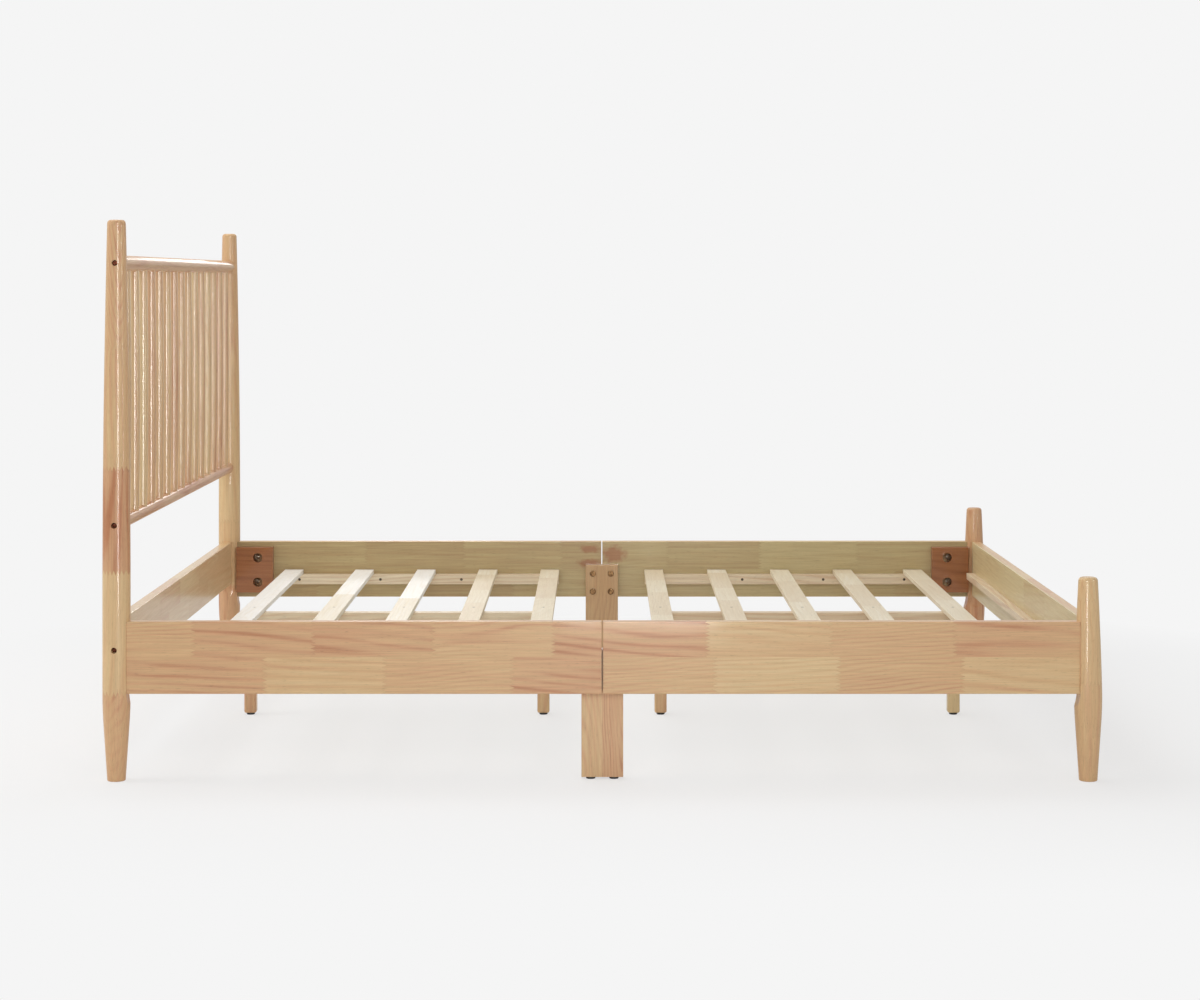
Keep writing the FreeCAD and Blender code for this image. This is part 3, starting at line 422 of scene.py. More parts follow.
@dataclass(frozen=True)
class EffectGroups:
    """The shader groups that several finishes share."""

    figure: Tree
    fingers: Tree
    edges: Tree
    speckle: Tree

    @classmethod
    def build(cls) -> "EffectGroups":
        """Builds each group once."""
        return cls(WoodFigure().group(), finger_joint_group(), edge_wear_group(), speckle_group())

    def worn(self, wiring: Wiring, width: float, strength: float) -> Socket:
        """Places the edge mask in a material: where lacquer and plating rub thin, with a painted highlight
        along the edge.
        """
        return wiring.effect(self.edges, {"Width": width, "Strength": strength}).outputs["Mask"]

    def speckled(self, wiring: Wiring, fineness: float) -> list[Socket]:
        """Places patches, so many to the metre, and specks in a material."""
        inputs = {"Place": wiring.out("ShaderNodeTexCoord", "Object"), "Fineness": fineness}
        return list(wiring.effect(self.speckle, inputs).outputs)


@dataclass(frozen=True)
class WoodFigure:
    """The growth rings, fibres, pores and clouds of wood, in metres and in repeats a metre."""

    chance_reach: Triple = (9.0, 9.0, 9.0)
    pith_spread: float = 0.13
    tilt_spread: float = 0.24
    wander: float = 0.055
    wander_stretch: Triple = (2.2, 11.0, 11.0)
    least_spacing: float = 0.5
    spacing_spread: float = 1.5
    ring_sharpness: float = 2.2
    uneven_stretch: Triple = (3.0, 26.0, 26.0)
    uneven_spread: float = 2.0
    uneven_start: float = -0.35
    streak_stretch: Triple = (5.0, 170.0, 170.0)
    fibre_stretch: Triple = (12.0, 520.0, 520.0)
    pore_stretch: Triple = (55.0, 1100.0, 1100.0)
    pore_contrast: float = 9.0
    pore_start: float = -5.9
    cloud_stretch: Triple = (2.6, 14.0, 14.0)

    def group(self) -> Tree:
        """Builds the shader group.

        Returns:
            A group that reads a place whose first component runs along the grain.
        """
        group = Group.begin(
            "wood_figure", "ShaderNodeTree",
            {"Place": VECTOR, "Seed": VALUE, "Ring Spacing": VALUE},
            {"Rings": VALUE, "Streaks": VALUE, "Fibre": VALUE, "Pores": VALUE, "Clouds": VALUE},
        )
        wiring = group.wiring
        place = group.take("Place")
        seed = {"W": group.take("Seed")}
        chance = wiring.out("ShaderNodeTexWhiteNoise", "Color", seed, noise_dimensions="1D")
        moved = wiring.vector("ADD", place, wiring.vector("MULTIPLY", chance, self.chance_reach))
        tilt_share, pith_share, depth_share = wiring.split(chance)
        along, across, through = wiring.split(place)

        # The rings lie round a pith that drifts away along the stave, which draws the arches.
        pith = wiring.scaled(pith_share, self.pith_spread, -self.pith_spread / 2)
        depth = wiring.scaled(depth_share, self.pith_spread, -self.pith_spread / 2)
        tilt = wiring.scaled(tilt_share, self.tilt_spread, -self.tilt_spread / 2)
        sideways = wiring.minus(across, pith)
        inwards = wiring.plus(wiring.minus(through, depth), wiring.times(along, tilt))
        distance = wiring.vector("LENGTH", wiring.join(sideways, inwards, 0.0))
        ring_place = wiring.scaled(wiring.noise(moved, self.wander_stretch, 1.5), self.wander, distance)
        spacing_share = wiring.scaled(tilt_share, self.spacing_spread, self.least_spacing)
        spacing = wiring.times(group.take("Ring Spacing"), spacing_share)
        turns = wiring.times(wiring.over(ring_place, spacing), math.tau)
        wave = wiring.scaled(wiring.math("SINE", turns), 0.5, 0.5)
        uneven_noise = wiring.noise(moved, self.uneven_stretch, 1.0)
        uneven = wiring.scaled(uneven_noise, self.uneven_spread, self.uneven_start)
        rings = wiring.times(wiring.math("POWER", wave, self.ring_sharpness), uneven)

        pore_noise = wiring.noise(moved, self.pore_stretch, 1.0)
        group.give("Rings", wiring.math("MAXIMUM", rings, 0.0))
        group.give("Streaks", wiring.noise(moved, self.streak_stretch))
        group.give("Fibre", wiring.noise(moved, self.fibre_stretch, 3.0))
        group.give("Pores", wiring.scaled(pore_noise, self.pore_contrast, self.pore_start, clamp=True))
        group.give("Clouds", wiring.noise(moved, self.cloud_stretch))
        return group.tree


def finger_joint_group() -> Tree:
    """The place along a stave, moved to and fro across it as the fingers of a joint are.

    Returns:
        A group that gives the moved place.
    """
    group = Group.begin(
        "finger_joints", "ShaderNodeTree",
        {"Along": VALUE, "Across": VALUE, "Finger Length": VALUE, "Finger Pitch": VALUE},
        {"Moved": VALUE},
    )
    wiring = group.wiring
    half_pitch = wiring.times(group.take("Finger Pitch"), 0.5)
    zigzag = wiring.math("PINGPONG", group.take("Across"), half_pitch)
    share = wiring.minus(wiring.over(zigzag, half_pitch), 0.5)
    reach = wiring.times(share, group.take("Finger Length"))
    group.give("Moved", wiring.plus(group.take("Along"), reach))
    return group.tree


def edge_wear_group() -> Tree:
    """Where a surface turns an edge, as the lacquer is thinner there; the mask also paints a highlight along
    the edge.

    Returns:
        A group that gives a mask.
    """
    group = Group.begin("edge_wear", "ShaderNodeTree", {"Width": VALUE, "Strength": VALUE}, {"Mask": VALUE})
    wiring = group.wiring
    rounded = wiring.out("ShaderNodeBevel", 0, {"Radius": group.take("Width")}, samples=4)
    true_normal = wiring.node("ShaderNodeNewGeometry").outputs["Normal"]
    agreement = wiring.vector("DOT_PRODUCT", rounded, true_normal)
    turned = wiring.minus(1.0, agreement)
    group.give("Mask", wiring.times(turned, group.take("Strength"), clamp=True))
    return group.tree


def speckle_group() -> Tree:
    """Fine uneven specks over broader patches, for metal and plastic.

    Returns:
        A group that gives a patch mask and a speck height.
    """
    inputs = {"Place": VECTOR, "Fineness": VALUE}
    group = Group.begin("speckle", "ShaderNodeTree", inputs, {"Patches": VALUE, "Specks": VALUE})
    wiring = group.wiring
    fine = wiring.vector("MULTIPLY", group.take("Place"), wiring.join(*[group.take("Fineness")] * 3))
    group.give("Patches", wiring.noise(fine, (1.0, 1.0, 1.0), 3.0))
    group.give("Specks", wiring.noise(fine, (7.0, 7.0, 7.0)))
    return group.tree


def empty_material(name: str) -> tuple[Material, Wiring]:
    """A material with nodes but nothing in it.

    Args:
        name: the material's name.

    Returns:
        The material and the wiring of its tree.
    """
    material = bpy.data.materials.new(name)
    material.use_nodes = True
    material.node_tree.nodes.clear()
    return material, Wiring(material.node_tree)


def place_shader(wiring: Wiring, inputs: dict[str, Any]) -> None:
    """Puts the surface shader into a material and joins it to the output."""
    shader = wiring.out("ShaderNodeBsdfPrincipled", 0, inputs)
    wiring.node("ShaderNodeOutputMaterial", {"Surface": shader})


@dataclass(frozen=True)
class Stain:
    """A round patch of red stain on the inner face of a rail."""

    x: float
    z: float
    half_width: float
    half_height: float


@dataclass(frozen=True)
class WoodFinish:
    """Lacquered wood: its colours, its staves and how strongly its figure shows."""

    name: str
    palette: Palette = LACQUERED
    tone: Tone = TAN
    staves: Staves | None = None
    stave_shift: float = 0.0
    tint_spread: float = 0.3
    ring_spacing: float = 9 * MM
    ring_strength: float = 0.3
    cloud_strength: float = 0.45
    streak_strength: float = 0.5
    fibre_strength: float = 0.2
    pore_strength: float = 0.35
    tint_seed: float = 71.0
    tone_seed: float = 43.0
    finger_length: float = 11 * MM
    finger_pitch: float = 8 * MM
    joint_line: float = 1.1 * MM
    joint_shade: float = 0.16
    least_tone_step: float = 0.01
    edge_width: float = 1.5 * MM
    edge_strength: float = 0.9
    # How far the edges pale: lacquer rubbed thin, and a painted highlight.
    edge_paleness: float = 0.3
    roughness: float = 0.44
    fibre_roughness: float = 0.22
    pore_roughness: float = 0.12
    fibre_relief: float = 0.5
    relief: float = 0.12 * MM
    relief_strength: float = 0.12
    sheen_level: float = 0.15
    coat: float = 0.7
    coat_roughness: float = 0.08
    # A darker palette for the inner face, as painted shade of the inside of the bed.
    inner_palette: Palette | None = None
    inner_way: int = 1
    inner_depth: float = 12 * MM
    stains: tuple[Stain, ...] = ()
    stain_raggedness: Triple = (70.0, 70.0, 70.0)
    stain_reach: float = 0.75
    stain_spread: float = 1.6
    stain_sharpness: float = 1.3
    stain_strength: float = 0.75

    def stave_tone(self, wiring: Wiring, along: Any, rows: Sequence[Any], effects: EffectGroups) -> Socket:
        """The tone of the stave at a place.

        Args:
            wiring: the material's wiring.
            along: the place along the grain.
            rows: the grain attribute's three components.
            effects: the shared shader groups.

        Returns:
            A socket with the tone.
        """
        staves = self.staves
        assert staves is not None
        across = rows[staves.across]
        sizes = {"Finger Length": self.finger_length, "Finger Pitch": self.finger_pitch}
        fingers = wiring.effect(effects.fingers, {"Along": along, "Across": across, **sizes})
        share = wiring.over(wiring.minus(fingers.outputs["Moved"], staves.low), staves.high - staves.low)
        tone = wiring.ramp(share, staves.stops(staves.first_row), steps=True)
        if staves.second_row:
            beyond = wiring.math("GREATER_THAN", across, staves.boundary)
            second = wiring.ramp(share, staves.stops(staves.second_row), steps=True)
            tone = wiring.blend(beyond, tone, second)
        return tone

    def stain_mask(self, wiring: Wiring) -> Socket:
        """Where the wood is stained red, as round patches with ragged edges.

        Args:
            wiring: the material's wiring.

        Returns:
            A socket with the mask.
        """
        place = wiring.out("ShaderNodeTexCoord", "Object")
        ragged = wiring.noise(place, self.stain_raggedness, 3.0)
        edge = wiring.scaled(ragged, self.stain_spread, self.stain_reach)
        mask: Any = 0.0
        for stain in self.stains:
            offset = wiring.vector("SUBTRACT", place, (stain.x, 0.0, stain.z))
            reach = wiring.vector("MULTIPLY", offset, (1 / stain.half_width, 0.0, 1 / stain.half_height))
            distance = wiring.vector("LENGTH", reach)
            inside = wiring.times(wiring.minus(edge, distance), self.stain_sharpness, clamp=True)
            mask = wiring.math("MAXIMUM", mask, inside)
        return wiring.times(mask, self.stain_strength)

    def inner_colour(self, wiring: Wiring, colour: Socket, warmth: Socket, through: Socket) -> Socket:
        """The colour of a rail whose inner face has a darker palette of painted shade, and may be stained.

        Args:
            wiring: the material's wiring.
            colour: the colour of the other faces.
            warmth: how warm the wood is.
            through: the place through the rail.

        Returns:
            The colour's socket.
        """
        inside = wiring.math("GREATER_THAN", wiring.times(through, self.inner_way), self.inner_depth)
        colour = wiring.blend(inside, colour, wiring.ramp(warmth, self.inner_palette.stops()))
        if self.stains:
            colour = wiring.blend(wiring.times(self.stain_mask(wiring), inside), colour, STAIN)
        return colour

    def build(self, effects: EffectGroups) -> Material:
        """Makes the material.

        Args:
            effects: the shared shader groups.

        Returns:
            The finished material.
        """
        material, wiring = empty_material(self.name)
        grain = wiring.out("ShaderNodeAttribute", "Vector", attribute_name=GRAIN_ATTRIBUTE)
        tint = wiring.out("ShaderNodeAttribute", "Fac", attribute_name=TINT_ATTRIBUTE)
        rows = wiring.split(grain)
        tone: Any = self.tone.value
        line: Any = 0.0
        if self.staves:
            along = wiring.scaled(wiring.about_half(tint), self.stave_shift, rows[0])
            tone = self.stave_tone(wiring, along, rows, effects)
            ahead = self.stave_tone(wiring, wiring.plus(along, self.joint_line), rows, effects)
            step = wiring.math("ABSOLUTE", wiring.minus(ahead, tone))
            line = wiring.math("GREATER_THAN", step, self.least_tone_step)
        seed = wiring.scaled(tint, self.tint_seed, wiring.times(tone, self.tone_seed))
        inputs = {"Place": grain, "Seed": seed, "Ring Spacing": self.ring_spacing}
        rings, streaks, fibre, pores, clouds = wiring.effect(effects.figure, inputs).outputs
        fibre_share = wiring.about_half(fibre)

        warmth = wiring.scaled(wiring.about_half(tint), self.tint_spread, tone)
        warmth = wiring.scaled(rings, self.ring_strength, warmth)
        warmth = wiring.scaled(wiring.about_half(clouds), self.cloud_strength, warmth)
        streaked = wiring.times(wiring.about_half(streaks), self.streak_strength)
        warmth = wiring.plus(warmth, streaked, clamp=True)
        colour = wiring.ramp(warmth, self.palette.stops())
        if self.inner_palette:
            colour = self.inner_colour(wiring, colour, warmth, rows[1])
        shade = wiring.scaled(fibre_share, -2 * self.fibre_strength, 1.0)
        shade = wiring.scaled(pores, -self.pore_strength, shade)
        shade = wiring.scaled(line, -self.joint_shade, shade)
        colour = wiring.blend(1.0, colour, wiring.join(shade, shade, shade), "MULTIPLY")
        worn = effects.worn(wiring, self.edge_width, self.edge_strength)
        # Paler along the edges: lacquer rubbed thin there, and a painted highlight.
        colour = wiring.blend(wiring.times(worn, self.edge_paleness), colour, self.palette.straw)

        dull = wiring.scaled(fibre_share, self.fibre_roughness, self.roughness)
        dull = wiring.scaled(pores, self.pore_roughness, dull)
        height = wiring.scaled(pores, -1.0, wiring.times(fibre, self.fibre_relief))
        place_shader(wiring, {
            "Base Color": colour, "Roughness": dull,
            "Normal": wiring.bump(height, self.relief_strength, self.relief),
            "Coat Weight": self.coat, "Coat Roughness": self.coat_roughness,
            "Specular IOR Level": self.sheen_level,
        })
        return material


@dataclass(frozen=True)
class MetalFinish:
    """Plated or patinated metal."""

    name: str
    bright: Colour
    dark: Colour
    patina: float = 0.4
    patch_contrast: float = 2.4
    fineness: float = 260.0
    edge_width: float = 0.6 * MM
    edge_strength: float = 1.2
    roughness: float = 0.3
    patch_roughness: float = 0.25
    relief: float = 0.05 * MM
    relief_strength: float = 0.15

    def build(self, effects: EffectGroups) -> Material:
        """Makes the material.

        Args:
            effects: the shared shader groups.

        Returns:
            The finished material.
        """
        material, wiring = empty_material(self.name)
        patches, specks = effects.speckled(wiring, self.fineness)
        start = self.patina - self.patch_contrast / 2
        patches = wiring.scaled(patches, self.patch_contrast, start, clamp=True)
        worn = effects.worn(wiring, self.edge_width, self.edge_strength)
        # Brighter along the edges: plating rubbed there, and a painted highlight.
        colour = wiring.blend(worn, wiring.blend(patches, self.bright, self.dark), self.bright)
        place_shader(wiring, {
            "Base Color": colour, "Metallic": 1.0,
            "Roughness": wiring.scaled(patches, self.patch_roughness, self.roughness),
            "Normal": wiring.bump(specks, self.relief_strength, self.relief),
        })
        return material


@dataclass(frozen=True)
class PlasticFinish:
    """Moulded plastic with a fine matt texture."""

    name: str
    colour: Colour
    rubbed: Colour
    fineness: float = 300.0
    edge_width: float = 0.8 * MM
    edge_strength: float = 1.0
    roughness: float = 0.35
    patch_roughness: float = 0.3
    relief: float = 0.08 * MM
    relief_strength: float = 0.3

    def build(self, effects: EffectGroups) -> Material:
        """Makes the material.

        Args:
            effects: the shared shader groups.

        Returns:
            The finished material.
        """
        material, wiring = empty_material(self.name)
        patches, specks = effects.speckled(wiring, self.fineness)
        worn = effects.worn(wiring, self.edge_width, self.edge_strength)
        # Lighter along the edges: rubbed plastic, and a painted highlight.
        place_shader(wiring, {
            "Base Color": wiring.blend(wiring.times(worn, patches), self.colour, self.rubbed),
            "Roughness": wiring.scaled(patches, self.patch_roughness, self.roughness),
            "Normal": wiring.bump(specks, self.relief_strength, self.relief),
        })
        return material


NEAR_RAIL_STAVES = Staves(
    low=-1.03, high=1.03, boundary=2 * MM,
    first_row=(
        (-1.03, WARM), (-0.729, PALE), (-0.468, TAN), (-0.198, PINK),
        (0.0, TAN), (0.2365, STRAW), (0.4995, TAN), (0.7686, PALE),
    ),
    second_row=(
        (-1.03, TAN), (-0.8815, WARM), (-0.6265, PINK), (-0.365, TAN),
        (-0.110, PINK), (0.0, PINK), (0.218, PALE), (0.488, TAN), (0.7515, WARM),
    ),
)
FAR_RAIL_STAVES = Staves(
    low=-1.03, high=1.03,
    first_row=(
        (-1.03, TAN), (-0.80, PALE), (-0.52, TAN), (-0.25, PALE),
        (0.0, STRAW), (0.30, WHITE), (0.57, STRAW), (0.82, PALE),
    ),
    second_row=(
        (-1.03, PALE), (-0.66, TAN), (-0.39, PALE), (-0.12, TAN),
        (0.0, STRAW), (0.18, PALE), (0.44, WHITE), (0.71, STRAW),
    ),
)
END_RAIL_STAVES = Staves(
    low=-0.77, high=0.77,
    first_row=(
        (-0.77, PALE), (-0.48, TAN), (-0.21, STRAW), (0.07, PALE), (0.36, STRAW),
    ),
    second_row=(
        (-0.77, STRAW), (-0.61, PALE), (-0.33, TAN), (-0.06, STRAW), (0.22, PALE),
    ),
)
PLANK_STAVES = Staves(low=0.0, high=0.3, across=1, first_row=((0.0, TAN),), second_row=((0.0, PINK),))
# The white stave at the far end of the slats, which the first slats' tints shift across most of them, is a
# painted reflection of a bright light; the other stave tones are the wood's own.
SLAT_STAVES_AND_GLARE = Staves(
    low=-1.98, high=1.98, across=1,
    first_row=(
        (-1.98, TAN), (-1.05, PINK), (-0.62, TAN), (-0.38, PINK), (-0.06, PALE),
        (0.425, WHITE),
    ),
)
STAINS = (
    Stain(-0.032, 0.322, 0.024, 0.009),
    Stain(-0.034, 0.282, 0.026, 0.009),
    Stain(0.036, 0.307, 0.025, 0.018),
)


def post_finish(name: str, high: float, row: Row, coat: float = 0.3) -> WoodFinish:
    """The finish of one post, whose staves stand on each other up to a height."""
    staves = Staves(low=0.0, high=high, across=1, first_row=row)
    return WoodFinish(f"{name}_post_lacquer", staves=staves, tint_spread=0.1, coat=coat)


POST_FINISHES = {
    "head_post_left": post_finish(
        "near_head", 1.21,
        ((0.0, PINK), (0.1875, PALE), (0.4455, RUSSET), (0.669, TAN), (0.93, WARM)),
        coat=0.25,
    ),
    "head_post_right": post_finish(
        "far_head", 1.21,
        ((0.0, PINK), (0.22, PALE), (0.40, STRAW), (0.66, PALE), (0.97, TAN)),
    ),
    "foot_post_left": post_finish(
        "near_foot", 0.44, ((0.0, TAN), (0.21, PALE), (0.39, STRAW)),
    ),
    "foot_post_right": post_finish("far_foot", 0.44, ((0.0, RUSSET), (0.19, PINK)), coat=0.4),
}


@dataclass(frozen=True)
class Finishes:
    """Every finish on the bed, as built materials."""

    posts: dict[str, Material]
    round_rail: Material
    spindle: Material
    near_rail: Material
    far_rail: Material
    head_end_rail: Material
    foot_end_rail: Material
    block: Material
    near_plank: Material
    far_plank: Material
    ledger: Material
    slat: Material
    leg: Material
    dowel: Material
    zinc: Material
    dark_steel: Material
    antique_brass: Material
    antique_bronze: Material
    insert_brass: Material
    pad: Material

    @classmethod
    def build(cls) -> "Finishes":
        """Builds each finish once.

        Returns:
            The finishes.
        """
        effects = EffectGroups.build()
        kinds = {
            "round_rail": WoodFinish("round_rail_lacquer", tone=PINK, tint_spread=0.2, coat=0.22),
            "spindle": WoodFinish(
                "spindle_lacquer", tone=PALE, tint_spread=0.45, streak_strength=0.7,
                coat=1.0, coat_roughness=0.2,
            ),
            "near_rail": WoodFinish(
                "near_rail_lacquer", staves=NEAR_RAIL_STAVES, tint_spread=0.0, ring_strength=0.34,
                ring_spacing=12 * MM, coat=0.35, inner_palette=SHADED_INSIDE,
            ),
            "far_rail": WoodFinish(
                "far_rail_lacquer", staves=FAR_RAIL_STAVES, tint_spread=0.0, ring_strength=0.1,
                streak_strength=0.8, coat=0.4, coat_roughness=0.25,
                inner_palette=SHADED_INSIDE, inner_way=-1, stains=STAINS,
            ),
            "head_end_rail": WoodFinish(
                "head_end_rail_lacquer", staves=END_RAIL_STAVES, tint_spread=0.2,
                coat=0.65, coat_roughness=0.2,
            ),
            "foot_end_rail": WoodFinish(
                "foot_end_rail_lacquer", staves=END_RAIL_STAVES, tint_spread=0.2,
                coat=0.4, coat_roughness=0.25,
                inner_palette=PALE_SHADED_INSIDE, inner_way=-1, inner_depth=9 * MM,
            ),
            "block": WoodFinish("corner_block_lacquer", COPPERY, tone=TAN, tint_spread=0.3),
            "near_plank": WoodFinish("near_plank_lacquer", staves=PLANK_STAVES, tint_spread=0.2),
            "far_plank": WoodFinish("far_plank_lacquer", SHADED_PLANK, tint_spread=0.0),
            "ledger": WoodFinish("ledger_wood", BLEACHED, tone=RUSSET, tint_spread=0.3, coat=0.1),
            "slat": WoodFinish(
                "slat_wood", BLEACHED, staves=SLAT_STAVES_AND_GLARE, tint_spread=0.0, stave_shift=2.4,
                ring_strength=0.12, cloud_strength=0.25, streak_strength=0.3, fibre_strength=0.1, coat=0.08,
            ),
            "leg": WoodFinish("leg_wood", tone=PALE, tint_spread=0.8),
            "dowel": WoodFinish("dowel_beech", BLEACHED, tone=PINK, coat=0.0, roughness=0.6),
            "zinc": MetalFinish("zinc_plate", srgb(222, 214, 196), srgb(150, 140, 120), patina=0.3),
            # Much darker than the zinc plating of the screws, so that their heads read as the shaded holes
            # they sit in: painted shade.
            "dark_steel": MetalFinish("dark_steel", srgb(96, 86, 74), srgb(46, 40, 34), roughness=0.4),
            # The next two are darker than their patina alone: painted shade for the shadow round the plank
            # bolts' heads, and for the deep recesses that hold the post bolts.
            "antique_brass": MetalFinish("antique_brass", srgb(156, 122, 84), srgb(74, 54, 38), patina=0.55),
            "antique_bronze": MetalFinish("antique_bronze", srgb(132, 78, 58), srgb(62, 34, 26), patina=0.5),
            "insert_brass": MetalFinish("insert_brass", srgb(206, 176, 110), srgb(160, 130, 74), patina=0.3),
            "pad": PlasticFinish("pad_plastic", srgb(34, 32, 31), srgb(70, 68, 66)),
        }
        posts = {node: finish.build(effects) for node, finish in POST_FINISHES.items()}
        return cls(posts=posts, **{name: finish.build(effects) for name, finish in kinds.items()})


# ---- meshes


def evaluated_mesh(workpiece: bpy.types.Object) -> Mesh:
    """Turns a workpiece and its modifiers into a plain mesh, and clears the workpiece away.

    Args:
        workpiece: an object that is linked to the scene.

    Returns:
        The plain mesh.
    """
    graph = bpy.context.evaluated_depsgraph_get()
    mesh = bpy.data.meshes.new_from_object(workpiece.evaluated_get(graph))
    workpiece.modifiers.clear()
    bpy.data.objects.remove(workpiece)
    return mesh


def in_scene(data: bpy.types.ID, name: str = "workpiece") -> bpy.types.Object:
    """An object for a mesh, a lamp or a camera.

    Args:
        data: what the object carries.
        name: the object's name.

    Returns:
        The object, linked to the scene.
    """
    made = bpy.data.objects.new(name, data)
    bpy.context.scene.collection.objects.link(made)
    return made


def run_tree(tree: Tree, values: dict[str, Any], mesh: Mesh | None = None) -> Mesh:
    """Runs a geometry tree.

    Args:
        tree: the geometry tree.
        values: the tree's inputs, by name.
        mesh: what the tree is given, if it starts from something.

    Returns:
        The tree's result as a plain mesh.
    """
    workpiece = in_scene(mesh or bpy.data.meshes.new("start"))
    modifier = workpiece.modifiers.new("making", "NODES")
    modifier.node_group = tree
    for item in tree.interface.items_tree:
        if item.item_type == "SOCKET" and item.in_out == "INPUT" and item.name in values:
            modifier[item.identifier] = values[item.name]
    return evaluated_mesh(workpiece)


def carve(mesh: Mesh, cutters: Sequence[Mesh]) -> Mesh:
    """Cuts shapes out of a mesh.

    Args:
        mesh: a closed mesh.
        cutters: closed meshes of what is taken away.

    Returns:
        What is left.
    """
    workpiece = in_scene(mesh)
    tools = [in_scene(cutter, f"cutter_{index}") for index, cutter in enumerate(cutters)]
    for tool in tools:
        modifier = workpiece.modifiers.new("cut", "BOOLEAN")
        modifier.operation = "DIFFERENCE"
        modifier.solver = "EXACT"
        modifier.object = tool
    result = evaluated_mesh(workpiece)
    for tool in tools:
        bpy.data.objects.remove(tool)
    return result


EASED_TURN = math.radians(60)
SMOOTH_LIMIT = math.radians(32)
DRILL_SEGMENTS = 48


def ease_ends(mesh: Mesh, width: float, steps: int = 2) -> Mesh:
    """Takes the sharpness off edges that turn by more than 60 degrees.

    Args:
        mesh: the mesh.
        width: how wide the eased edge is.
        steps: how many faces round it has.

    Returns:
        The eased mesh.
    """
    workpiece = in_scene(mesh)
    modifier = workpiece.modifiers.new("ease", "BEVEL")
    modifier.limit_method = "ANGLE"
    modifier.angle_limit = EASED_TURN
    modifier.width = width
    modifier.segments = steps
    return evaluated_mesh(workpiece)


def mesh_from(work: bmesh.types.BMesh) -> Mesh:
    """Closes a shape under construction into a mesh whose faces point outwards.

    Args:
        work: the shape, which is freed.

    Returns:
        The mesh.
    """
    bmesh.ops.recalc_face_normals(work, faces=work.faces[:])
    mesh = bpy.data.meshes.new("shape")
    work.to_mesh(mesh)
    work.free()
    return mesh


def arc(
    middle: tuple[float, float], radius: float, start: float, end: float, steps: int, rise: float = 0.0
) -> Outline:
    """A round stretch of an outline.

    Args:
        middle: the middle of the circle, across and up.
        radius: its radius.
        start: the angle where the stretch starts, in degrees from the way across.
        end: the angle where it ends.
        steps: how many straight lines it has.
        rise: its radius upwards, if that differs.

    Returns:
        Its points, with both ends.
    """
    angles = [math.radians(start + (end - start) * step / steps) for step in range(steps + 1)]
    up = rise or radius
    return [(middle[0] + radius * math.cos(angle), middle[1] + up * math.sin(angle)) for angle in angles]


def hexagon(flats: float, level: float) -> list[Vector]:
    """The corners of a hexagon that is given by its width across flats, at a level on Z."""
    ring = arc((0.0, 0.0), flats / math.sqrt(3), 0, 360, 6)
    return [Vector((x, y, level)) for x, y in ring[:-1]]


def prism(corners: Sequence[Vector], sweep: Vector) -> Mesh:
    """A flat outline swept along a line.

    Args:
        corners: the outline's corners in order.
        sweep: how far and which way it is swept.

    Returns:
        A closed mesh.
    """
    work = bmesh.new()
    face = work.faces.new([work.verts.new(corner) for corner in corners])
    swept = bmesh.ops.extrude_face_region(work, geom=[face])
    moved = [item for item in swept["geom"] if isinstance(item, bmesh.types.BMVert)]
    bmesh.ops.translate(work, verts=moved, vec=sweep)
    return mesh_from(work)


def drill(mouth: Vector, way: Vector, radius: float, depth: float, far_radius: float | None = None) -> Mesh:
    """The shape of a drilled hole, or of a countersink.

    Args:
        mouth: the middle of the hole's mouth.
        way: the unit vector into the wood.
        radius: the hole's radius at its mouth.
        depth: how deep it goes.
        far_radius: the radius at its far end, if that differs.

    Returns:
        A closed mesh.
    """
    work = bmesh.new()
    turn = way.to_track_quat("Z", "Y").to_matrix().to_4x4()
    place = Matrix.Translation(mouth + way * depth / 2) @ turn
    bmesh.ops.create_cone(
        work, cap_ends=True, segments=DRILL_SEGMENTS, radius1=radius,
        radius2=far_radius or radius, depth=depth, matrix=place,
    )
    return mesh_from(work)


def store_vectors(mesh: Mesh, name: str, vectors: Sequence[Vector]) -> None:
    """Keeps one vector for each of a mesh's points as an attribute."""
    attribute = mesh.attributes.get(name) or mesh.attributes.new(name, "FLOAT_VECTOR", "POINT")
    attribute.data.foreach_set("vector", [part for vector in vectors for part in vector])


def store_tints(mesh: Mesh, tints: Sequence[float]) -> None:
    """Keeps how warm the wood is at each of a mesh's points."""
    attribute = mesh.attributes.get(TINT_ATTRIBUTE) or mesh.attributes.new(TINT_ATTRIBUTE, "FLOAT", "POINT")
    attribute.data.foreach_set("value", list(tints))


def store_grain(mesh: Mesh, axis: Axis, centre: Vector, tint: float | None = None) -> None:
    """Keeps where each point lies in its board: along the grain, then twice across it.

    Args:
        mesh: the board.
        axis: which way the grain runs.
        centre: the board's middle, from which the places across are measured.
        tint: the board's own place between paler and warmer, if it has one.
    """
    first, second = axis.others
    places = [
        Vector((point.co[axis.value], point.co[first] - centre[first], point.co[second] - centre[second]))
        for point in mesh.vertices
    ]
    store_vectors(mesh, GRAIN_ATTRIBUTE, places)
    if tint is not None:
        store_tints(mesh, [tint] * len(mesh.vertices))


def joined(meshes: Sequence[Mesh]) -> Mesh:
    """Several meshes as one, with their attributes.

    Args:
        meshes: the meshes to join.

    Returns:
        One mesh.
    """
    work = bmesh.new()
    for mesh in meshes:
        work.from_mesh(mesh)
    made = bpy.data.meshes.new("joined")
    work.to_mesh(made)
    work.free()
    return made


def with_true_flats(mesh: Mesh) -> Mesh:
    """Smooths a mesh so that its eased edges shade softly and its flat faces stay flat.

    Args:
        mesh: the mesh.

    Returns:
        The smoothed mesh.
    """
    mesh.shade_smooth()
    mesh.set_sharp_from_angle(angle=SMOOTH_LIMIT)
    workpiece = in_scene(mesh)
    modifier = workpiece.modifiers.new("flats", "WEIGHTED_NORMAL")
    modifier.keep_sharp = True
    return evaluated_mesh(workpiece)


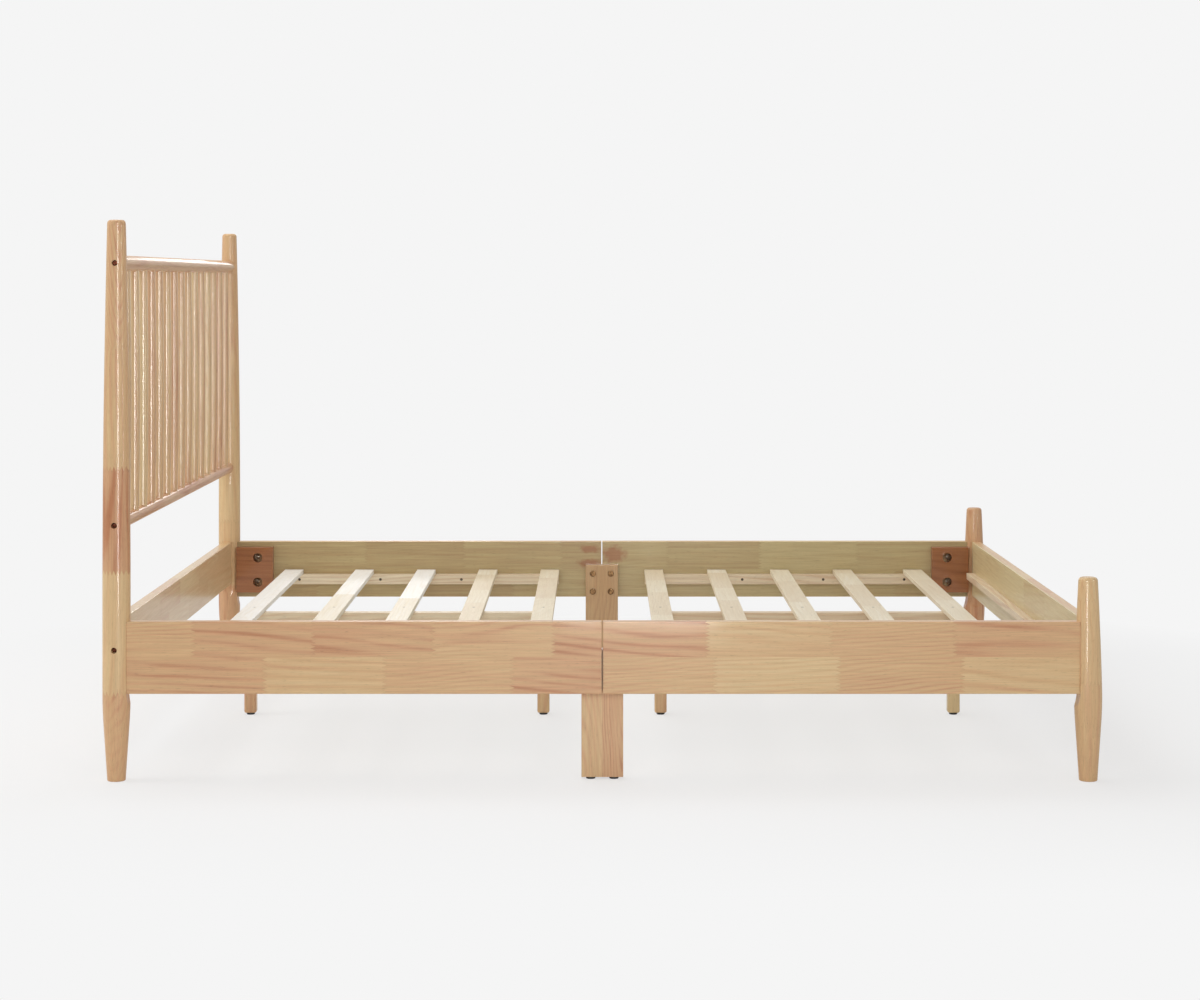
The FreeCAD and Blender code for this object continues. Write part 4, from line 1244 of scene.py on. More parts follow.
def finish_piece(name: str, mesh: Mesh, material: Material, nodes: Sequence[str]) -> None:
    """Makes a finished piece that stands for one or more nodes of the frame.

    Args:
        name: the piece's name.
        mesh: its mesh, in place.
        material: its finish.
        nodes: the nodes that it stands for.
    """
    mesh.materials.clear()
    mesh.materials.append(material)
    mesh.polygons.foreach_set("material_index", [0] * len(mesh.polygons))
    piece = in_scene(with_true_flats(mesh), name)
    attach(piece, ROOT)
    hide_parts(*nodes)
    log.info("%s: %d faces, stands for %d nodes", name, len(mesh.polygons), len(nodes))


# ---- geometry trees


@dataclass(frozen=True)
class ShapeTrees:
    """The geometry trees that the pieces are made with."""

    turning: Tree
    eased_board: Tree
    coped_rail: Tree
    spindle_row: Tree
    set_out: Tree

    @classmethod
    def build(cls) -> "ShapeTrees":
        """Builds each tree once."""
        return cls(turning_tree(), eased_board_tree(), coped_rail_tree(), spindle_row_tree(), set_out_tree())


def begin_shape(name: str, sizes: Inputs) -> Group:
    """Starts a geometry tree that takes sizes, by the type of their sockets, and a material."""
    geometry = {"Geometry": GEOMETRY}
    return Group.begin(name, "GeometryNodeTree", geometry | sizes | {"Material": MATERIAL}, geometry)


def close_tree(group: Group, geometry: Socket) -> Tree:
    """Ends a geometry tree in Realize Instances and Set Material.

    Args:
        group: the tree under construction.
        geometry: what it has made.

    Returns:
        The finished tree.
    """
    real = group.wiring.out("GeometryNodeRealizeInstances", "Geometry", {"Geometry": geometry})
    inputs = {"Geometry": real, "Material": group.take("Material")}
    group.give("Geometry", group.wiring.out("GeometryNodeSetMaterial", "Geometry", inputs))
    return group.tree


def turning_tree() -> Tree:
    """Turns an outline of radius and height about the upright axis.

    Returns:
        A tree that is given the outline as a mesh of points, from the foot to the top.
    """
    group = begin_shape("turning", {"Segments": WHOLE})
    wiring = group.wiring
    outline = group.take("Geometry")
    mesh = {"Geometry": outline}
    count = wiring.out("GeometryNodeAttributeDomainSize", "Point Count", mesh, component="MESH")
    around = wiring.plus(group.take("Segments"), 1.0)
    size = {"Size X": 1.0, "Size Y": 1.0, "Vertices X": count, "Vertices Y": around}
    grid = wiring.out("GeometryNodeMeshGrid", "Mesh", size)
    position = wiring.out("GeometryNodeInputPosition", 0)
    across, up, _ = wiring.split(position)
    step = wiring.times(wiring.plus(across, 0.5), wiring.minus(count, 1.0))
    point = wiring.out(
        "GeometryNodeSampleIndex", "Value",
        {"Geometry": outline, "Value": position, "Index": wiring.math("ROUND", step)},
        data_type="FLOAT_VECTOR", domain="POINT",
    )
    radius, _, height = wiring.split(point)
    angle = wiring.times(wiring.minus(0.5, up), math.tau)
    x = wiring.times(radius, wiring.math("COSINE", angle))
    y = wiring.times(radius, wiring.math("SINE", angle))
    place = {"Geometry": grid, "Position": wiring.join(x, y, height)}
    turned = wiring.out("GeometryNodeSetPosition", 0, place)
    welded = wiring.out("GeometryNodeMergeByDistance", 0, {"Geometry": turned, "Distance": WELD_DISTANCE})
    return close_tree(group, welded)


def eased_board_tree() -> Tree:
    """Sweeps a rectangle with rounded corners along X, from the origin.

    Returns:
        A tree with the board's sizes as inputs: Depth along Y and Height along Z.
    """
    group = begin_shape("eased_board", {"Length": VALUE, "Depth": VALUE, "Height": VALUE, "Arris": VALUE})
    wiring = group.wiring
    ends = {"Start": (0.0, 0.0, 0.0), "End": wiring.join(group.take("Length"))}
    line = wiring.out("GeometryNodeCurvePrimitiveLine", "Curve", ends)
    sides = {"Width": group.take("Depth"), "Height": group.take("Height")}
    section = wiring.out("GeometryNodeCurvePrimitiveQuadrilateral", "Curve", sides)
    inputs = {"Curve": section, "Count": 4, "Radius": group.take("Arris")}
    rounded = wiring.out("GeometryNodeFilletCurve", "Curve", inputs, mode="POLY")
    sweep = {"Curve": line, "Profile Curve": rounded, "Fill Caps": True}
    return close_tree(group, wiring.out("GeometryNodeCurveToMesh", "Mesh", sweep))


def coped_rail_tree() -> Tree:
    """A round rail along Y whose ends fit round two upright posts.

    Returns:
        A tree with the rail's radius, half the span between the posts' axes, and the
        radius of the saddle at its ends.
    """
    sizes = {"Radius": VALUE, "Half Span": VALUE, "Saddle": VALUE, "Segments": WHOLE}
    group = begin_shape("coped_rail", sizes)
    wiring = group.wiring
    size = {"Vertices": group.take("Segments"), "Radius": 1.0, "Depth": 2.0}
    size |= {"Side Segments": 24, "Fill Segments": 4}
    rod = wiring.out("GeometryNodeMeshCylinder", "Mesh", size, fill_type="TRIANGLE_FAN")
    across, up, along = wiring.split(wiring.out("GeometryNodeInputPosition", 0))
    x = wiring.times(across, group.take("Radius"))
    z = wiring.times(wiring.times(up, group.take("Radius")), -1.0)
    saddle = group.take("Saddle")
    left = wiring.minus(wiring.times(saddle, saddle), wiring.times(x, x))
    reach = wiring.minus(group.take("Half Span"), wiring.math("SQRT", left))
    place = {"Geometry": rod, "Position": wiring.join(x, wiring.times(along, reach), z)}
    return close_tree(group, wiring.out("GeometryNodeSetPosition", 0, place))


def spindle_row_tree() -> Tree:
    """A row of barrel-shaped spindles along Y, each turned about its axis by chance.

    Returns:
        A tree with the count, the pitch and the spindle's sizes as inputs.
    """
    counts = dict.fromkeys(("Count", "Segments", "Seed"), WHOLE)
    lengths = dict.fromkeys(("Pitch", "Length", "Neck", "End Radius", "Middle Radius"), VALUE)
    group = begin_shape("spindle_row", counts | lengths)
    wiring = group.wiring
    size = {"Vertices": group.take("Segments"), "Radius": 1.0, "Depth": group.take("Length")}
    rod = wiring.out("GeometryNodeMeshCylinder", "Mesh", {**size, "Side Segments": 40, "Fill Segments": 1})
    x, y, z = wiring.split(wiring.out("GeometryNodeInputPosition", 0))
    half = wiring.minus(wiring.times(group.take("Length"), 0.5), group.take("Neck"))
    share = wiring.over(wiring.math("ABSOLUTE", z), half, clamp=True)
    swell = wiring.minus(group.take("Middle Radius"), group.take("End Radius"))
    radius = wiring.minus(group.take("Middle Radius"), wiring.times(swell, wiring.times(share, share)))
    grain = wiring.vector("MULTIPLY", wiring.join(z, x, y), wiring.join(1.0, radius, radius))
    with_grain = wiring.out(
        "GeometryNodeStoreNamedAttribute", 0, {"Geometry": rod, "Name": GRAIN_ATTRIBUTE, "Value": grain},
        data_type="FLOAT_VECTOR", domain="POINT",
    )
    swollen = wiring.join(wiring.times(x, radius), wiring.times(y, radius), z)
    barrel = wiring.out("GeometryNodeSetPosition", 0, {"Geometry": with_grain, "Position": swollen})
    gaps = wiring.minus(group.take("Count"), 1.0)
    start = wiring.times(wiring.times(gaps, group.take("Pitch")), -0.5)
    places = {
        "Count": group.take("Count"), "Start Location": wiring.join(0.0, start, 0.0),
        "Offset": wiring.join(0.0, group.take("Pitch"), 0.0),
    }
    line = wiring.out("GeometryNodeMeshLine", "Mesh", places)
    chance = {"Min": 0.0, "Max": math.tau, "Seed": group.take("Seed")}
    angle = wiring.out("FunctionNodeRandomValue", "Value", chance, data_type="FLOAT")
    turn = wiring.out("FunctionNodeEulerToRotation", 0, {0: wiring.join(0.0, 0.0, angle)})
    inputs = {"Points": line, "Instance": barrel, "Rotation": turn}
    row = wiring.out("GeometryNodeInstanceOnPoints", 0, inputs)
    chance = {"Min": 0.0, "Max": 1.0, "Seed": wiring.plus(group.take("Seed"), TINT_SEED_STEP)}
    tint = wiring.out("FunctionNodeRandomValue", "Value", chance, data_type="FLOAT")
    tinted = wiring.out(
        "GeometryNodeStoreNamedAttribute", 0, {"Geometry": row, "Name": TINT_ATTRIBUTE, "Value": tint},
        data_type="FLOAT", domain="INSTANCE",
    )
    return close_tree(group, tinted)


def set_out_tree() -> Tree:
    """Sets out copies of one piece at points, each turned and tinted as its point says.

    Returns:
        A tree that is given the points, with the piece as an input.
    """
    group = begin_shape("set_out", {"Piece": OBJECT})
    wiring = group.wiring
    source = {"Object": group.take("Piece"), "As Instance": True}
    piece = wiring.out("GeometryNodeObjectInfo", "Geometry", source)
    name = {"Name": TURN_ATTRIBUTE}
    angles = wiring.out("GeometryNodeInputNamedAttribute", "Attribute", name, data_type="FLOAT_VECTOR")
    turn = wiring.out("FunctionNodeEulerToRotation", 0, {0: angles})
    inputs = {"Points": group.take("Geometry"), "Instance": piece, "Rotation": turn}
    return close_tree(group, wiring.out("GeometryNodeInstanceOnPoints", 0, inputs))


@dataclass
class Workshop:
    """Makes meshes with the geometry trees, and finished pieces from them."""

    trees: ShapeTrees
    finishes: Finishes

    def turned(self, outline: Outline, material: Material, segments: int = 96) -> Mesh:
        """A turned piece that stands on the origin.

        Args:
            outline: radius and height of each point, from the axis below to the axis above.
            material: the finish.
            segments: how many flats round the piece has.

        Returns:
            A closed mesh.
        """
        points = bpy.data.meshes.new("outline")
        points.from_pydata([(radius, 0.0, height) for radius, height in outline], [], [])
        return run_tree(self.trees.turning, {"Segments": segments, "Material": material}, points)

    def board(
        self, low: Vector, high: Vector, axis: Axis, arris: float, material: Material,
        end_ease: float = 0.5 * MM,
    ) -> Mesh:
        """A board between two corners, with eased edges.

        Args:
            low: its lowest corner.
            high: its highest corner.
            axis: which way it runs.
            arris: the radius of its long edges.
            material: the finish.
            end_ease: how much its ends are eased.

        Returns:
            A closed mesh, in place.
        """
        first, second = axis.others
        size = high - low
        values = {
            "Length": size[axis.value], "Depth": size[first], "Height": size[second],
            "Arris": arris, "Material": material,
        }
        mesh = run_tree(self.trees.eased_board, values)
        turn = Matrix((axis.direction, Axis(first).direction, Axis(second).direction)).transposed().to_4x4()
        start = (low + high) / 2 - axis.direction * size[axis.value] / 2
        mesh.transform(Matrix.Translation(start) @ turn)
        if turn.determinant() < 0:
            mesh.flip_normals()
        return ease_ends(mesh, end_ease)

    def finish_board(
        self, name: str, node: str, axis: Axis, arris: float, material: Material, tint: float, slot: str
    ) -> None:
        """Makes and finishes a plain board in the place of a node.

        Args:
            name: the piece's name.
            node: the node.
            axis: which way the board and its grain run.
            arris: the radius of its long edges.
            material: the finish.
            tint: the board's own place between paler and warmer.
            slot: the record's material slot; not used.
        """
        low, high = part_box(node)
        mesh = self.board(low, high, axis, arris, material)
        store_grain(mesh, axis, (low + high) / 2, tint)
        finish_piece(name, mesh, material, [node])

    def finish_copies(
        self, name: str, piece: Mesh, places: Sequence[Matrix], material: Material,
        nodes: Sequence[str], slot: str, tints: Sequence[float] = (),
    ) -> None:
        """Finishes copies of one piece at several places.

        Args:
            name: the finished piece's name.
            piece: the pattern in its own frame.
            places: where each copy goes and how it is turned.
            material: the finish.
            nodes: the nodes that the copies stand for.
            slot: the record's material slot; not used.
            tints: how warm each copy's wood is.
        """
        points = bpy.data.meshes.new("places")
        points.from_pydata([place.to_translation() for place in places], [], [])
        store_vectors(points, TURN_ATTRIBUTE, [Vector(place.to_euler()) for place in places])
        store_tints(points, tints or [MIDDLE_TINT] * len(places))
        pattern = in_scene(piece, "pattern")
        mesh = run_tree(self.trees.set_out, {"Piece": pattern, "Material": material}, points)
        bpy.data.objects.remove(pattern)
        finish_piece(name, mesh, material, nodes)


# ---- measures from the frame


def middle_of(node: str) -> Vector:
    """The middle of a node's box."""
    low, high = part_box(node)
    return (low + high) / 2


def facing(place: Vector, way: Vector) -> Matrix:
    """Where a fitting goes whose own Z points along way."""
    return Matrix.Translation(place) @ way.to_track_quat("Z", "Y").to_matrix().to_4x4()


def upright(level: float) -> Vector:
    """A step along Z."""
    return Vector((0.0, 0.0, level))


BELLY_RADIUS = 29.8 * MM


@dataclass
class Corner:
    """One corner of the bed: its post, and the ways to the middle of the bed."""

    end: End
    side: Side
    axis: Vector = field(init=False)
    rail_low: Vector = field(init=False)
    rail_high: Vector = field(init=False)

    def __post_init__(self) -> None:
        """Reads the corner's place from the frame.  The post's belly fills its outer sides."""
        low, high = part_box(self.node("post"))
        x = self.end.outer(low.x, high.x) + self.end.value * BELLY_RADIUS
        y = self.side.outer(low.y, high.y) + self.side.value * BELLY_RADIUS
        self.axis = Vector((x, y, 0.0))
        self.rail_low, self.rail_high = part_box(self.rail)

    def node(self, kind: str) -> str:
        """The name of this corner's node of a kind."""
        return f"{self.end.word}_{kind}_{self.side.word}"

    @property
    def rail(self) -> str:
        """The name of the side rail's node."""
        return f"side_rail_{self.end.word}_{self.side.word}"

    @property
    def block(self) -> str:
        """The name of the corner block's node."""
        return f"corner_block_{self.end.word}_{self.side.word}"

    @property
    def flat(self) -> float:
        """The distance from the post's axis to its milled flats."""
        return abs(self.end.outer(self.rail_low.x, self.rail_high.x) - self.axis.x)

    def inwards(self, axis: Axis) -> Vector:
        """The unit vector along an axis from this corner to the middle of the bed."""
        return axis.direction * (self.end if axis is Axis.X else self.side).value

    def outside(self, distance: float, level: float) -> Vector:
        """The place at a distance from the post's axis, away from the bed, at a level."""
        return self.axis - self.inwards(Axis.Y) * distance + upright(level)


# ---- posts


@dataclass
class Posts:
    """Four turned posts with milled flats and bored recesses."""

    shop: Workshop
    corners: list[Corner]
    foot_radius: float = 19.6 * MM
    foot_round: float = 2 * MM
    taper_radius: float = 28.5 * MM
    taper_top: float = 135 * MM
    belly_radius: float = BELLY_RADIUS
    belly_height: float = 186 * MM
    belly_steps: int = 6
    straight_top: float = 380 * MM
    head_top_radius: float = 19.9 * MM
    foot_top_radius: float = 20.8 * MM
    foot_post_bulge: float = 0.8 * MM
    head_post_steps: int = 40
    foot_post_steps: int = 14
    top_round: float = 8 * MM
    cutter_reach: float = 32 * MM
    runout: float = 60 * MM
    recess_radius: float = 6.4 * MM
    recess_seat: float = 14 * MM
    bolt_heights: Triple = (1112 * MM, 550 * MM, 283 * MM)
    first_tint: float = 0.3
    tint_step: float = 0.13

    def radius_above(self, height: float, end: End, top: float) -> float:
        """The radius of a post at a height above its belly.

        Args:
            height: the height.
            end: which end of the bed the post stands at.
            top: where the rounding at the top starts.

        Returns:
            The radius.
        """
        if end is End.HEAD:
            share = max(height - self.straight_top, 0.0) / (top - self.straight_top)
            return self.belly_radius - (self.belly_radius - self.head_top_radius) * share**2
        share = (height - self.belly_height) / (top - self.belly_height)
        straight = self.belly_radius + (self.foot_top_radius - self.belly_radius) * share
        return straight + 4 * self.foot_post_bulge * share * (1 - share)

    def outline(self, end: End, height: float) -> Outline:
        """The outline of a post.

        Args:
            end: which end of the bed the post stands at.
            height: the post's height.

        Returns:
            Radius and height of each point, from the floor to the top.
        """
        foot_middle = (self.foot_radius - self.foot_round, self.foot_round)
        points: Outline = [(0.0, 0.0), *arc(foot_middle, self.foot_round, -90, 0, 4)]
        points.append((self.taper_radius, self.taper_top))
        swell = self.belly_radius - self.taper_radius
        rise = self.belly_height - self.taper_top
        for step in range(1, self.belly_steps + 1):
            share = step / self.belly_steps
            points.append((self.taper_radius + swell * (1 - (1 - share) ** 2), self.taper_top + rise * share))
        top = height - self.top_round
        steps = self.head_post_steps if end is End.HEAD else self.foot_post_steps
        for step in range(1, steps + 1):
            level = self.belly_height + (top - self.belly_height) * step / steps
            points.append((self.radius_above(level, end, top), level))
        crown = points[-1][0] - self.top_round
        return [*points, *arc((crown, top), self.top_round, 0, 90, 8)[1:], (0.0, height)]

    def flat_cutter(self, corner: Corner, towards: Axis, low: float) -> Mesh:
        """What a cutter takes away to leave a flat with a curved run-out.

        Args:
            corner: the post's corner.
            towards: the axis that the flat faces.
            low: where the flat's run-out starts.

        Returns:
            A closed mesh.
        """
        sideways = Axis.Y if towards is Axis.X else Axis.X
        flat = corner.flat
        top = corner.rail_high.z
        turn = math.degrees(math.acos((self.runout - (self.cutter_reach - flat)) / self.runout))
        curve = arc((flat + self.runout, low), self.runout, 180, 180 + turn, 8)
        start = corner.axis - sideways.direction * self.cutter_reach
        corners = [
            start + corner.inwards(towards) * out + upright(level)
            for out, level in [(flat, top), *curve, (self.cutter_reach, top)]
        ]
        return prism(corners, sideways.direction * self.cutter_reach * 2)

    def build(self) -> None:
        """Turns, mills and bores the posts."""
        for number, corner in enumerate(self.corners):
            node = corner.node("post")
            material = self.shop.finishes.posts[node]
            mesh = self.shop.turned(self.outline(corner.end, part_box(node)[1].z), material)
            mesh.transform(Matrix.Translation(corner.axis))
            end_rail_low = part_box(f"{corner.end.word}_end_rail")[0].z
            cutters = [
                self.flat_cutter(corner, Axis.X, corner.rail_low.z),
                self.flat_cutter(corner, Axis.Y, end_rail_low),
            ]
            if corner.end is End.HEAD:
                way = corner.inwards(Axis.Y)
                depth = self.cutter_reach - self.recess_seat
                mouths = [corner.outside(self.cutter_reach, level) for level in self.bolt_heights]
                cutters += [drill(mouth, way, self.recess_radius, depth) for mouth in mouths]
            mesh = carve(mesh, cutters)
            store_grain(mesh, Axis.Z, corner.axis, self.first_tint + self.tint_step * number)
            finish_piece(f"turned_{node}", mesh, material, [node])


# ---- headboard


@dataclass
class Headboard:
    """Two coped round rails and the row of spindles between them."""

    shop: Workshop
    half_span: float = 785 * MM
    rails: tuple[tuple[str, float, float, float], ...] = (
        ("headboard_top_rail", 17 * MM, 21.9 * MM, 0.35),
        ("headboard_lower_rail", 14.5 * MM, 29.5 * MM, 0.75),
    )
    rail_segments: int = 72
    spindle_count: int = 15
    spindle_pitch: float = 98.125 * MM
    spindle_neck: float = 14 * MM
    spindle_segments: int = 40
    spindle_seed: int = 11
    end_radius: float = 10 * MM
    middle_radius: float = 12.5 * MM

    def build_rails(self) -> None:
        """Makes the two rails from their radii, the radii of their saddles and their tints."""
        material = self.shop.finishes.round_rail
        for node, radius, saddle, tint in self.rails:
            values = {"Radius": radius, "Half Span": self.half_span, "Saddle": saddle}
            values |= {"Segments": self.rail_segments, "Material": material}
            mesh = run_tree(self.shop.trees.coped_rail, values)
            middle = middle_of(node)
            mesh.transform(Matrix.Translation(middle))
            store_grain(mesh, Axis.Y, middle, tint)
            finish_piece(f"coped_{node}", mesh, material, [node])

    def build_spindles(self) -> None:
        """Makes the row of spindles."""
        material = self.shop.finishes.spindle
        nodes = [f"spindle_{number:02d}" for number in range(1, self.spindle_count + 1)]
        low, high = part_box(nodes[0])
        values = {
            "Count": self.spindle_count, "Pitch": self.spindle_pitch, "Length": high.z - low.z,
            "Neck": self.spindle_neck, "End Radius": self.end_radius, "Middle Radius": self.middle_radius,
            "Segments": self.spindle_segments, "Seed": self.spindle_seed, "Material": material,
        }
        mesh = run_tree(self.shop.trees.spindle_row, values)
        mesh.transform(Matrix.Translation(Vector(((low.x + high.x) / 2, 0.0, (low.z + high.z) / 2))))
        finish_piece("barrel_spindles", mesh, material, nodes)


# ---- boards


@dataclass
class RailBoards:
    """The side rail halves and the two end rails."""

    shop: Workshop
    corners: list[Corner]
    arris: float = 2 * MM
    pocket_distance: float = 60 * MM
    pocket_radius: float = 13 * MM
    pocket_floor: float = 7.5 * MM
    pocket_margin: float = 29 * MM
    lead: float = 1 * MM
    side_tint: float = 0.5
    head_tint: float = 0.4
    foot_tint: float = 0.7

    def pockets(self, corner: Corner, face: float, depth: float) -> list[Mesh]:
        """The shapes of a corner's two pockets in an upright face.

        Args:
            corner: the corner.
            face: the face's place along Y.
            depth: how deep the pockets go.

        Returns:
            Two closed meshes, which start a little in front of the face.
        """
        inwards = corner.inwards(Axis.Y)
        mouths = [spot + inwards * self.lead for spot in self.pocket_mouths(corner, face)]
        return [drill(mouth, -inwards, self.pocket_radius, depth + self.lead) for mouth in mouths]

    def pocket_mouths(self, corner: Corner, face: float) -> list[Vector]:
        """The middles of a corner's two pockets on an upright face.

        Args:
            corner: the corner.
            face: the face's place along Y.

        Returns:
            Two points.
        """
        low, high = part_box(corner.block)
        along = corner.axis.x + corner.end.value * (corner.flat + self.pocket_distance)
        levels = (low.z + self.pocket_margin, high.z - self.pocket_margin)
        return [Vector((along, face, level)) for level in levels]

    def build(self) -> None:
        """Makes the rails, with the floors of the pockets sunk into the side rails."""
        finishes = self.shop.finishes
        for corner in self.corners:
            low, high = corner.rail_low, corner.rail_high
            material = finishes.near_rail if corner.side is Side.LEFT else finishes.far_rail
            mesh = self.shop.board(low, high, Axis.X, self.arris, material)
            mesh = carve(mesh, self.pockets(corner, corner.side.inner(low.y, high.y), self.pocket_floor))
            store_grain(mesh, Axis.X, (low + high) / 2, self.side_tint)
            finish_piece(f"jointed_{corner.rail}", mesh, material, [corner.rail])
        for node, material, tint in (
            ("head_end_rail", finishes.head_end_rail, self.head_tint),
            ("foot_end_rail", finishes.foot_end_rail, self.foot_tint),
        ):
            name = f"jointed_{node}"
            self.shop.finish_board(name, node, Axis.Y, self.arris, material, tint, "rail_wood")


@dataclass
class CornerJoints:
    """Corner blocks with their pockets, hanger bolts, half-moon washers and nuts."""

    shop: Workshop
    corners: list[Corner]
    boards: RailBoards
    arris: float = 1.5 * MM
    first_tint: float = 0.2
    tint_step: float = 0.2
    washer_radius: float = 12.9 * MM
    washer_depth: float = 5.5 * MM
    washer_width: float = 14 * MM
    washer_ease: float = 0.3 * MM
    nut_flats: float = 13 * MM
    nut_length: float = 6.5 * MM
    nut_ease: float = 0.5 * MM
    bolt_radius: float = 4 * MM
    bolt_clearance: float = 4.1 * MM
    bolt_overrun: float = 2 * MM
    bolt_embed: float = 34 * MM
    bolt_point: float = 6 * MM
    bolt_segments: int = 24
    thread_pitch: float = 1.25 * MM
    thread_depth: float = 0.5 * MM
    threaded_length: float = 22 * MM

    @property
    def washer_face(self) -> float:
        """The distance from a pocket's middle to the flat face of its washer."""
        return self.washer_radius - self.washer_depth

    def washer(self) -> Mesh:
        """One half-moon washer round a bolt along Z, with its round side below.

        Returns:
            A closed mesh.
        """
        half = math.degrees(math.acos(self.washer_face / self.washer_radius))
        curve = arc((0.0, 0.0), self.washer_radius, -90 - half, -90 + half, 16)
        corners = [Vector((across, -self.washer_width / 2, level)) for across, level in curve]
        body = prism(corners, Vector((0, self.washer_width, 0)))
        hole = drill(upright(0), upright(-1), self.bolt_clearance, self.washer_radius * 2)
        return ease_ends(carve(body, [hole]), self.washer_ease, 1)

    def nut(self) -> Mesh:
        """One hexagon nut round a bolt along Z, whose seat is the origin.

        Returns:
            A closed mesh.
        """
        body = prism(hexagon(self.nut_flats, 0.0), upright(self.nut_length))
        hole = drill(upright(-MM), upright(1), self.bolt_radius, self.nut_length + 2 * MM)
        return ease_ends(carve(body, [hole]), self.nut_ease, 2)

    def bolt_outline(self, length: float) -> Outline:
        """The outline of a hanger bolt: a point for the wood, and threads at its free end.

        Args:
            length: the bolt's length.

        Returns:
            Radius and distance from the tip of each point.
        """
        radius = self.bolt_radius
        start = length - self.threaded_length
        points: Outline = [(0.0, 0.0), (radius, self.bolt_point), (radius, start)]
        turns = int((self.threaded_length - 2 * MM) / self.thread_pitch)
        for turn in range(turns):
            level = start + self.thread_pitch * (turn + 1)
            points += [(radius - self.thread_depth, level - self.thread_pitch / 2), (radius, level)]
        return [*points, (radius - MM, length), (0.0, length)]

    def build(self) -> None:
        """Makes the blocks and the fittings in their pockets."""
        finishes = self.shop.finishes
        bolt_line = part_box("hanger_bolts")[1].y - self.bolt_radius
        bolts, washers, nuts = [], [], []
        for number, corner in enumerate(self.corners):
            low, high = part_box(corner.block)
            face = corner.side.inner(low.y, high.y)
            mesh = self.shop.board(low, high, Axis.X, self.arris, finishes.block)
            mesh = carve(mesh, self.boards.pockets(corner, face, high.y - low.y + MM))
            store_grain(mesh, Axis.X, (low + high) / 2, self.first_tint + self.tint_step * number)
            finish_piece(f"bored_{corner.block}", mesh, finishes.block, [corner.block])
            way = corner.inwards(Axis.X)
            tip = corner.axis.x + corner.end.value * (corner.flat - self.bolt_embed)
            line = middle_of("hanger_bolts").y - corner.side.value * bolt_line
            for pocket in self.boards.pocket_mouths(corner, line):
                bolts.append(facing(Vector((tip, line, pocket.z)), way))
                washers.append(facing(pocket, way))
                nuts.append(facing(pocket - way * self.washer_face, way))
        span = self.boards.pocket_distance - self.washer_face + self.nut_length
        outline = self.bolt_outline(self.bolt_embed + span + self.bolt_overrun)
        bolt = self.shop.turned(outline, finishes.zinc, self.bolt_segments)
        for node, piece, places in (
            ("hanger_bolts", bolt, bolts),
            ("half_moon_washers", self.washer(), washers),
            ("hanger_nuts", self.nut(), nuts),
        ):
            self.shop.finish_copies(f"plated_{node}", piece, places, finishes.zinc, [node], "zinc_steel")


# ---- bolts and screws


@dataclass
class MachineBolts:
    """Round-headed bolts with hex sockets: in the centre planks, and in the head posts."""

    shop: Workshop
    corners: list[Corner]
    posts: Posts
    shank_radius: float = 3 * MM
    segments: int = 48
    crown_start: float = 0.62
    crown_rise: float = 0.55
    socket_flats: float = 4 * MM
    socket_depth: float = 2.2 * MM
    plank_head: Triple = (8.5 * MM, 3.2 * MM, 38 * MM)
    post_head: Triple = (5.5 * MM, 4 * MM, 58 * MM)
    plank_bolt_reach: float = 25 * MM
    plank_bolt_heights: tuple[float, float] = (206 * MM, 256 * MM)

    def bolt(self, radius: float, height: float, length: float) -> Mesh:
        """One bolt whose seat is at the origin and whose tip points along Z.

        Args:
            radius: the head's radius.
            height: the head's height.
            length: the shank's length.

        Returns:
            A closed mesh with its socket.
        """
        inner = radius * self.crown_start
        rise = height * self.crown_rise
        shank = self.shank_radius
        outline: Outline = [
            (0.0, -height), *arc((inner, rise - height), radius - inner, -90, 0, 5, rise), (radius, 0.0),
            (shank, 0.0), (shank, length - MM), (shank - MM, length), (0.0, length),
        ]
        body = self.shop.turned(outline, self.shop.finishes.antique_brass, self.segments)
        socket = prism(hexagon(self.socket_flats, -height - MM), upright(self.socket_depth + MM))
        return carve(body, [socket])

    def build(self) -> None:
        """Makes the bolts of the planks and of the head posts."""
        places = []
        for side in Side:
            low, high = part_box(f"centre_plank_{side.word}")
            for across in (-self.plank_bolt_reach, self.plank_bolt_reach):
                for level in self.plank_bolt_heights:
                    seat = Vector((across, side.inner(low.y, high.y), level))
                    places.append(facing(seat, Axis.Y.direction * -side.value))
        recesses = [
            facing(corner.outside(self.posts.recess_seat, level), corner.inwards(Axis.Y))
            for corner in self.corners if corner.end is End.HEAD
            for level in self.posts.bolt_heights
        ]
        finishes = self.shop.finishes
        for name, node, head, spots, metal in (
            ("brass", "plank_bolts", self.plank_head, places, finishes.antique_brass),
            ("bronze", "headboard_bolts", self.post_head, recesses, finishes.antique_bronze),
        ):
            bolt = self.bolt(*head)
            self.shop.finish_copies(f"{name}_{node}", bolt, spots, metal, [node], "antique_brass")


